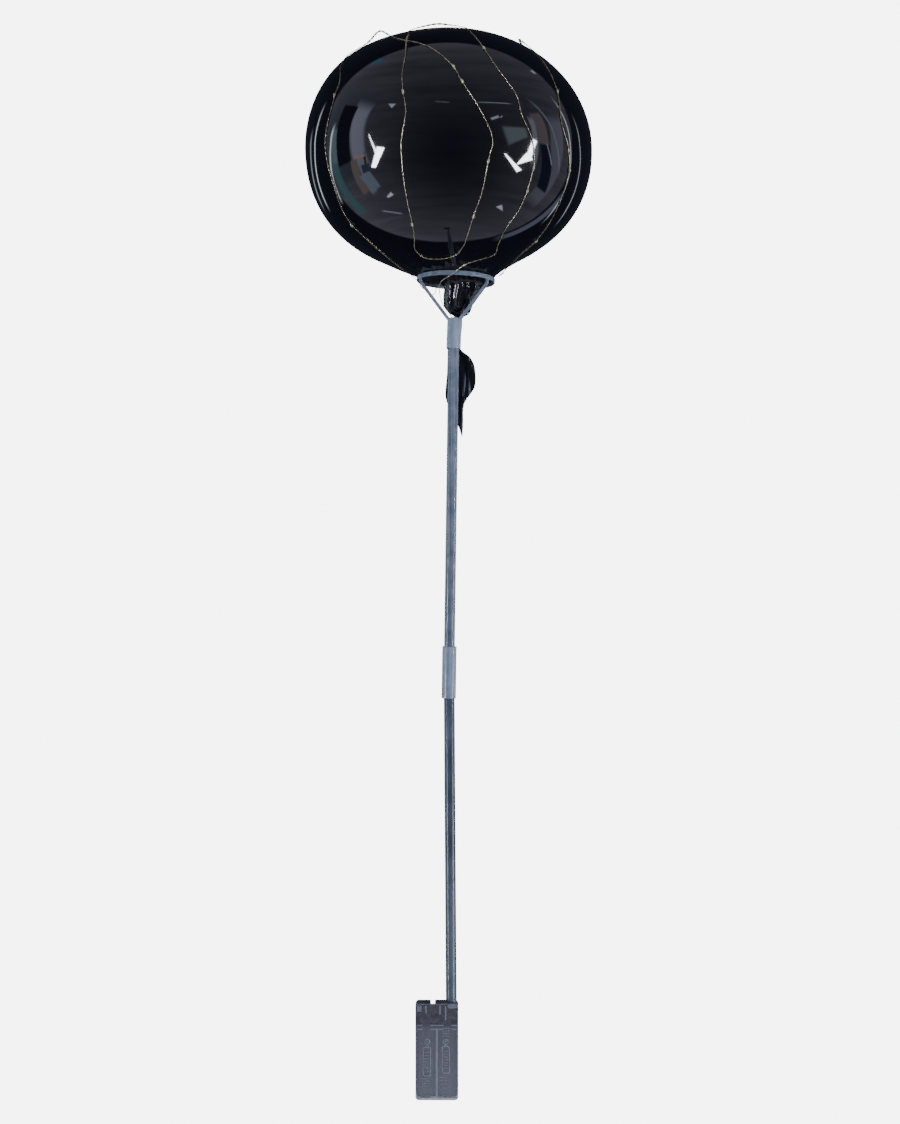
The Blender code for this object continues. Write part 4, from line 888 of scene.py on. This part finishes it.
def build_marks(look):
    """Raised marks on the box's front: a sign in a circle and a cell's outline over each bay, and strokes."""
    turn = round_angles(32)
    ring = np.stack([np.sin(turn), np.cos(turn)], axis=-1) * SIGN_CIRCLE
    grids = []
    for x, z in SIGNS:
        grids.append(ridge(ring + (x, z), True))
        grids.append(ridge(bar_path((x - SIGN_ARM, z), (x + SIGN_ARM, z)), False))
    x, z = SIGNS[1]
    grids.append(ridge(bar_path((x, z - SIGN_ARM), (x, z + SIGN_ARM)), False, 0.00040, 0.00013))
    for left, right, low, high in CELL_OUTLINES:
        grids.append(ridge(outline_path(left, right, low, high, 0.0012), True))
        middle = (left + right) / 2
        knob = outline_path(middle - 0.0011, middle + 0.0011, high + 0.0003, high + 0.0013, 0.0004)
        grids.append(ridge(knob, True, 0.00034))
        grids += stroke_rows(left + 0.0016, right - 0.0013, low + 0.004, high - 0.004, 7, 2)
    for row in STROKES:
        grids += stroke_rows(*row)
    return piece("cell_marks", grids, look, 30)


def plate(left, right, low, high, radius=0.0003):
    """A thin plate inside the box's front wall: a rounded outline drawn backwards."""
    outline = outline_path(left, right, low, high, radius, 3)
    rows = [np.stack([outline[:, 0], np.full(len(outline), depth - BOX_DEPTH / 2), outline[:, 1]], axis=-1)
            for depth in (0.0003, 0.0009)]
    return lay(capped(np.array(rows)))


# Ribs inside the box: thicknesses, side rib's and middle rib's reach, guides' places and lengths, post and boss
DIVIDER, SLOT_RIB, GUIDE = 0.0016, 0.0011, 0.0013
SIDE_RIB, MIDDLE_RIB = 0.0042, 0.0108
GUIDES = ((-0.0088, 0.0062), (0.0026, 0.0072), (0.0072, 0.0120))
POST_WIDTH, POST_LENGTH = 0.0036, 0.0050
BOSS = (-0.0032, 0.0046, 0.0750, 0.0786, 0.0016)


def build_rib_ends(look):
    """Where a rib meets the front wall the plastic is solid and lighter: divider, slot ribs, guides and boss."""
    inside, top = BOX_WIDTH / 2 - BOX_WALL, BOX_LENGTH - 0.0016
    rows = [(-DIVIDER / 2, DIVIDER / 2, BAYS_FOOT, BAYS_TOP)]
    rows += [(left, right, height - 0.0001, height - 0.0001 + SLOT_RIB) for height in (BAYS_FOOT, BAYS_TOP, CIRCUIT_RIB)
             for left, right in ((-inside, SIDE_RIB - inside), (-MIDDLE_RIB / 2, MIDDLE_RIB / 2),
                                 (inside - SIDE_RIB, inside))]
    rows += [(-inside, POST_WIDTH - inside, top - POST_LENGTH, top)]
    rows += [(place - GUIDE / 2, place + GUIDE / 2, top - length, top) for place, length in GUIDES]
    grids = [plate(BOX_CENTRE + left, BOX_CENTRE + right, low, high) for left, right, low, high in rows]
    return piece("rib_ends", grids + [plate(*BOSS)], look, 30)


def box_look(name, dark, light, alpha, roughness):
    """Moulded smoky plastic, darker over the circuit space at the box's top, with faint flow lines."""
    look = Look(name, light, roughness, Alpha=alpha, Specular_IOR_Level=0.12)
    drawn = look.drawn_out(900.0, 14.0, 2.0)
    cloud = look.noise(look.place(), 70.0, 3.0, 0.55)
    plain = look.blend(look.spread(look.weigh(drawn, 0.45, cloud, 0.55), 0.36, 0.64), times(light, 0.86), light)
    height = look.height()
    fade = look.spread(height, CIRCUIT_FLOOR - 0.050, CIRCUIT_FLOOR, 0.0, 0.45)
    plain = look.blend(fade, plain, times(light, 0.55))
    over = look.spread(height, CIRCUIT_FLOOR + 0.0015, CIRCUIT_FLOOR + 0.0045)
    mottled = look.blend(look.spread(look.noise(look.place(), 260.0, 4.0, 0.7), 0.40, 0.64), dark, times(dark, 1.8))
    look.set("Base Color", look.blend(over, plain, mottled))
    scuff = look.noise(look.place(), 420.0, 4.0, 0.65)
    look.scuffed(scuff, roughness, 1.8)
    look.bump(scuff, 0.25, 0.00003)
    return look.material


box_walls = box_look("smoky_box_walls", (0.080, 0.085, 0.105), (0.235, 0.245, 0.295), 0.94, 0.18)
box_front = box_look("smoky_box_front", (0.060, 0.062, 0.078), (0.165, 0.170, 0.208), 0.32, 0.14)
box_door = box_look("smoky_door", (0.040, 0.042, 0.052), (0.200, 0.205, 0.250), 0.95, 0.18)
rib_look = clear_look("rib_plastic", (0.17, 0.183, 0.225), (0.25, 0.268, 0.33), 0.62, 0.25)
mark_look = clear_look("raised_marks", (0.165, 0.173, 0.204), (0.215, 0.225, 0.262), 0.80, 0.2)
dress(box_copy("battery_case", "battery_tray", (box_walls, box_front)), "battery_case")
dress(box_copy("battery_lid", "battery_door", (box_door,)), "battery_lid")
dress(build_rib_ends(rib_look), "battery_case")
dress(build_marks(mark_look), "battery_case")


# ---- floor, light and camera ----

# The stage's half width, height and drop under the ground, and its light
STAGE_HALF, STAGE_HEIGHT, STAGE_DROP, STAGE_LIGHT = 5, 6.0, 0.0004, 6.5


def build_stage():
    """A wide pale floor, and a pale wall on all sides far behind the object that lets the room's light in."""
    look = Look("pale_floor", (0.0, 0.0, 0.0), 1.0, Specular_IOR_Level=0.0, Emission_Color=(1, 1, 1, 1),
                Emission_Strength=STAGE_LIGHT)
    corners = [(x * STAGE_HALF, y * STAGE_HALF, z) for z in (-STAGE_DROP, STAGE_HEIGHT)
               for x, y in ((-1, -1), (1, -1), (1, 1), (-1, 1))]
    walls = [(i, (i + 1) % 4, (i + 1) % 4 + 4, i + 4) for i in range(4)]
    for name, faces in (("floor", [(0, 1, 2, 3)]), ("backdrop", walls)):
        mesh = bpy.data.meshes.new(name)
        mesh.from_pydata(corners, [], faces)
        mesh.materials.append(look.material)
        made = placed(name, mesh)
        made.visible_glossy = made.visible_diffuse = False
        made.visible_shadow = name == "floor"


def standing_camera():
    """The camera looks square at the stick, which lies on its back."""
    data = bpy.data.cameras.new("camera")
    data.sensor_fit = "VERTICAL"
    data.angle = 2 * math.atan(HALF_PICTURE / CAMERA_AWAY)
    camera = placed("camera", data)
    place = lay(np.array(CAMERA_AIM) - CAMERA_AWAY * BACKWARDS)
    turn = LAID @ turn_x(math.pi / 2)
    camera.matrix_world = Matrix.Translation(place) @ Matrix(turn.tolist()).to_4x4()
    bpy.context.scene.camera = camera


class Room(Nodes):
    """The room round the object, drawn in its own two coordinates.

    A direction is turned into the half-way direction between it and the line back to the stick's front: its
    share to the right is called across, its share up the stick up. Patches are laid over each other in order.
    """

    def __init__(self):
        world = bpy.data.worlds.new("room")
        bpy.context.scene.world = world
        super().__init__(world)
        self.background = self.nodes["Background"]
        way = self.node("TexCoord").outputs["Generated"]
        half = self.vector("NORMALIZE", self.vector("SUBTRACT", way, tuple(LAID @ BACKWARDS)))
        self.across = self.vector("DOT_PRODUCT", half, (1.0, 0.0, 0.0))
        self.up = self.vector("DOT_PRODUCT", half, tuple(LAID @ UP))
        self.reach = self.length(self.across, self.up)
        self.bearing = self.maths("ARCTAN2", self.up, self.maths("ABSOLUTE", self.across))

    def vector(self, operation, first, second=(0.0, 0.0, 0.0)):
        """One vector sum."""
        made = self.node("VectorMath", (first, second), operation=operation)
        return made.outputs[1 if operation == "DOT_PRODUCT" else 0]

    def length(self, first, second):
        """The length of two shares square to each other."""
        return self.maths("SQRT", self.weigh(first, first, second, second))

    def inside(self, distance, soft):
        """1 where a distance is below 1, and 0 beyond 1 + soft."""
        return self.spread(distance, 1.0, 1.0 + soft, 1.0, 0.0, interpolation_type="SMOOTHSTEP")

    def lay_over(self, mask, colour):
        """One more patch over the picture so far."""
        self.picture = self.blend(mask, self.picture, colour)

    def bar(self, middle, half_length, half_width, turn, taper, soft, colour):
        """A straight bar: its middle, half sizes, turn from across, and how much wider its far end is."""
        c, s = math.cos(math.radians(turn)), math.sin(math.radians(turn))
        x = self.maths("SUBTRACT", self.across, middle[0])
        y = self.maths("SUBTRACT", self.up, middle[1])
        along = self.maths("MULTIPLY_ADD", x, c / half_length, self.maths("MULTIPLY", y, s / half_length))
        side = self.maths("MULTIPLY_ADD", x, -s / half_width, self.maths("MULTIPLY", y, c / half_width))
        side = self.maths("DIVIDE", self.maths("ABSOLUTE", side), self.maths("MULTIPLY_ADD", along, taper, 1.0))
        distance = self.maths("MAXIMUM", self.maths("ABSOLUTE", along), side)
        self.lay_over(self.inside(distance, soft), colour)

    def bow(self, side, ends, reaches, half_width, soft, colour):
        """A bow round the middle, on the left (-1) or right (1), between two bearings with a reach at each."""
        low, high = (math.radians(end) for end in ends)
        share = self.spread(self.bearing, low, high, -1.0, 1.0, clamp=False)
        mid = self.maths("MULTIPLY_ADD", share, (reaches[1] - reaches[0]) / 2, (reaches[0] + reaches[1]) / 2)
        off = self.maths("DIVIDE", self.maths("ABSOLUTE", self.maths("SUBTRACT", self.reach, mid)), half_width)
        distance = self.maths("MAXIMUM", self.maths("ABSOLUTE", share), off)
        here = self.maths("GREATER_THAN", self.maths("MULTIPLY", self.across, float(side)), 0.0)
        self.lay_over(self.maths("MULTIPLY", self.inside(distance, soft), here), colour)


# Walls and frames of the room: side, bearings, reaches, half width, softness, light
BOWS = (
    (-1, (-15, 36), (0.700, 0.700), 0.105, 0.45, (0.34, 0.38, 0.50)),
    (-1, (-9, 25), (0.618, 0.632), 0.034, 0.80, (1.90, 2.05, 2.65)),
    (-1, (-7, 30), (0.722, 0.719), 0.042, 0.10, (0.02, 0.02, 0.04)),
    (-1, (-36, -8), (0.640, 0.598), 0.024, 0.30, (1.75, 1.85, 2.25)),
    (-1, (-33, -9), (0.690, 0.662), 0.021, 0.25, (1.35, 1.12, 1.03)),
    (-1, (-34, -9), (0.615, 0.585), 0.006, 0.60, (0.15, 0.15, 0.22)),
    (-1, (-38, -1), (0.800, 0.790), 0.018, 0.40, (0.45, 0.95, 1.10)),
    (-1, (-3, 13), (0.782, 0.778), 0.013, 0.40, (0.90, 1.30, 1.50)),
    (1, (-34, 16), (0.738, 0.735), 0.036, 0.40, (0.90, 0.93, 1.20)),
    (1, (4, 24), (0.645, 0.620), 0.030, 0.30, (1.10, 0.93, 0.95)),
    (1, (-13, 19), (0.600, 0.577), 0.014, 0.40, (1.75, 1.85, 2.35)),
    (1, (-28, 2), (0.731, 0.654), 0.034, 0.12, (0.03, 0.05, 0.13)),
    (1, (-8, 2), (0.712, 0.672), 0.003, 0.60, (2.6, 3.0, 3.4)),
)

# Lamp fronts seen past the hall's edge, in the same terms
EDGE_BOWS = (
    (-1, (-20, 11), (0.846, 0.797), 0.0042, 0.60, (6.0, 6.9, 7.3)),
    (-1, (-10, 23), (0.939, 0.903), 0.0028, 0.70, (3.2, 3.7, 3.9)),
    (-1, (-4, 16), (0.968, 0.945), 0.0035, 0.80, (0.9, 1.05, 1.15)),
    (1, (-4, 29), (0.760, 0.663), 0.004, 0.70, (1.3, 1.6, 2.1)),
    (1, (-61, -28), (0.862, 0.866), 0.009, 0.60, (0.70, 0.80, 1.15)),
    (1, (-27, 22), (0.876, 0.811), 0.0022, 0.70, (4.8, 5.5, 5.9)),
    (1, (-20, 15), (0.940, 0.893), 0.0018, 0.80, (2.2, 2.5, 2.7)),
)

# Windows and small lamps: middle, half length, half width, turn, taper, softness, light
BARS = (
    ((0.452, 0.066), 0.060, 0.040, 20, -0.3, 0.50, (1.25, 1.60, 1.75)),
    ((-0.545, -0.300), 0.075, 0.032, 118, 0.0, 0.35, (1.40, 1.75, 2.30)),
    ((-0.572, -0.180), 0.032, 0.026, 100, 0.0, 0.25, (0.30, 0.40, 0.62)),
    ((-0.612, -0.072), 0.032, 0.0085, 4, 0.0, 0.30, (3.40, 2.05, 1.65)),
    ((-0.492, -0.108), 0.080, 0.020, 71, 0.25, 0.12, (90.0, 92.0, 100.0)),
    ((-0.516, 0.004), 0.066, 0.0045, -74, 0.5, 0.30, (60.0, 62.0, 68.0)),
    ((0.560, -0.038), 0.082, 0.015, 77, -0.1, 0.12, (90.0, 92.0, 100.0)),
    ((0.512, -0.133), 0.055, 0.017, 45, 0.75, 0.15, (90.0, 92.0, 100.0)),
    ((0.432, -0.166), 0.078, 0.011, -52, 0.65, 0.15, (80.0, 82.0, 90.0)),
    ((0.356, -0.560), 0.017, 0.013, 60, -0.8, 0.25, (5.0, 6.0, 6.8)),
    ((-0.405, -0.450), 0.018, 0.011, 40, 0.3, 0.30, (6.5, 7.0, 8.0)),
    ((-0.372, 0.302), 0.018, 0.011, -100, -0.8, 0.25, (4.0, 4.8, 5.6)),
    ((0.303, 0.176), 0.026, 0.010, 32, 0.0, 0.25, (4.0, 4.2, 5.2)),
    ((0.345, 0.190), 0.010, 0.005, 55, 0.0, 0.40, (2.4, 2.8, 3.2)),
    ((0.292, 0.318), 0.075, 0.0035, 3, 0.0, 0.70, (2.2, 2.6, 3.2)),
    ((-0.386, -0.590), 0.052, 0.0038, -18, 0.0, 0.70, (2.4, 2.8, 3.4)),
    ((0.489, 0.665), 0.014, 0.006, -35, 0.0, 0.50, (1.8, 2.0, 2.4)),
    ((-0.400, 0.736), 0.024, 0.007, 25, 0.6, 0.50, (0.10, 0.75, 1.10)),
    ((-0.045, 0.310), 0.030, 0.0035, -6, 0.0, 0.80, (1.2, 1.5, 1.6)),
)
HALL_REACH, HALL_MIDDLE, HALL_SIZE = 0.835, (0.02, -0.12), (0.70, 0.80)
# The hall's light from its middle outwards: distance, light
HALL_LIGHT = ((0.0, 0.040), (0.19, 0.068), (0.39, 0.15), (0.51, 0.22), (0.64, 0.33), (0.78, 0.40), (1.0, 0.50))


def build_room():
    """A dim hall in front of the object, dark in its middle, with walls, windows and lamps round it."""
    room = Room()
    beams = room.node("CombineXYZ", (room.maths("MULTIPLY", room.across, 1.6),
                                     room.maths("MULTIPLY", room.up, 13.0), 0.0)).outputs[0]
    beam = room.noise(beams, 1.0, 3.0, 0.6, 0.4)
    across = room.maths("DIVIDE", room.maths("SUBTRACT", room.across, HALL_MIDDLE[0]), HALL_SIZE[0])
    up = room.maths("DIVIDE", room.maths("SUBTRACT", room.up, HALL_MIDDLE[1]), HALL_SIZE[1])
    dim = room.node("ValToRGB", (room.length(across, up),))
    for number, (place, light) in enumerate(HALL_LIGHT):
        stop = dim.color_ramp.elements[number] if number < 2 else dim.color_ramp.elements.new(place)
        stop.position = place
        stop.color = (light, light * 0.98, light * 1.22, 1.0)
    shade = room.spread(beam, 0.3, 0.7, 0.72, 1.22)
    below = room.spread(room.up, -0.75, 0.75, 1.28, 0.68)
    sideways = room.spread(room.across, -0.6, 0.6, 1.18, 0.86)
    shade = room.maths("MULTIPLY", shade, room.maths("MULTIPLY", below, sideways))
    room.picture = room.blend(1.0, dim.outputs[0], shade, "MULTIPLY")
    for row in BOWS:
        room.bow(*row)
    for row in BARS:
        room.bar(*row)
    edge = room.maths("DIVIDE", room.reach, HALL_REACH)
    room.picture = room.blend(room.inside(edge, 0.012), (0.020, 0.022, 0.036), room.picture)
    for row in EDGE_BOWS:
        room.bow(*row)
    room.links.new(room.picture, room.background.inputs["Color"])
    room.background.inputs["Strength"].default_value = 1.0


def soft_light(name, place, aim, width, height, power, colour=(1.0, 1.0, 1.0)):
    """A wide soft light above the object that no gloss mirrors."""
    data = bpy.data.lights.new(name, "AREA")
    data.shape = "RECTANGLE"
    data.size, data.size_y = width, height
    data.energy, data.color = power, colour
    data.specular_factor = 0.0
    light = placed(name, data)
    way = Vector(place) - Vector(aim)
    light.matrix_world = Matrix.Translation(place) @ way.to_track_quat("Z", "Y").to_matrix().to_4x4()
    light.visible_glossy = False


build_stage()
standing_camera()
build_room()
soft_light("broad_left", (-1.3, -0.2, 1.6), (0.0, 0.0, 0.0), 1.2, 1.8, 8.0, (0.94, 0.97, 1.0))
soft_light("broad_right", (1.3, 0.1, 1.5), (0.0, 0.0, 0.0), 1.2, 1.8, 6.0, (0.95, 0.97, 1.0))
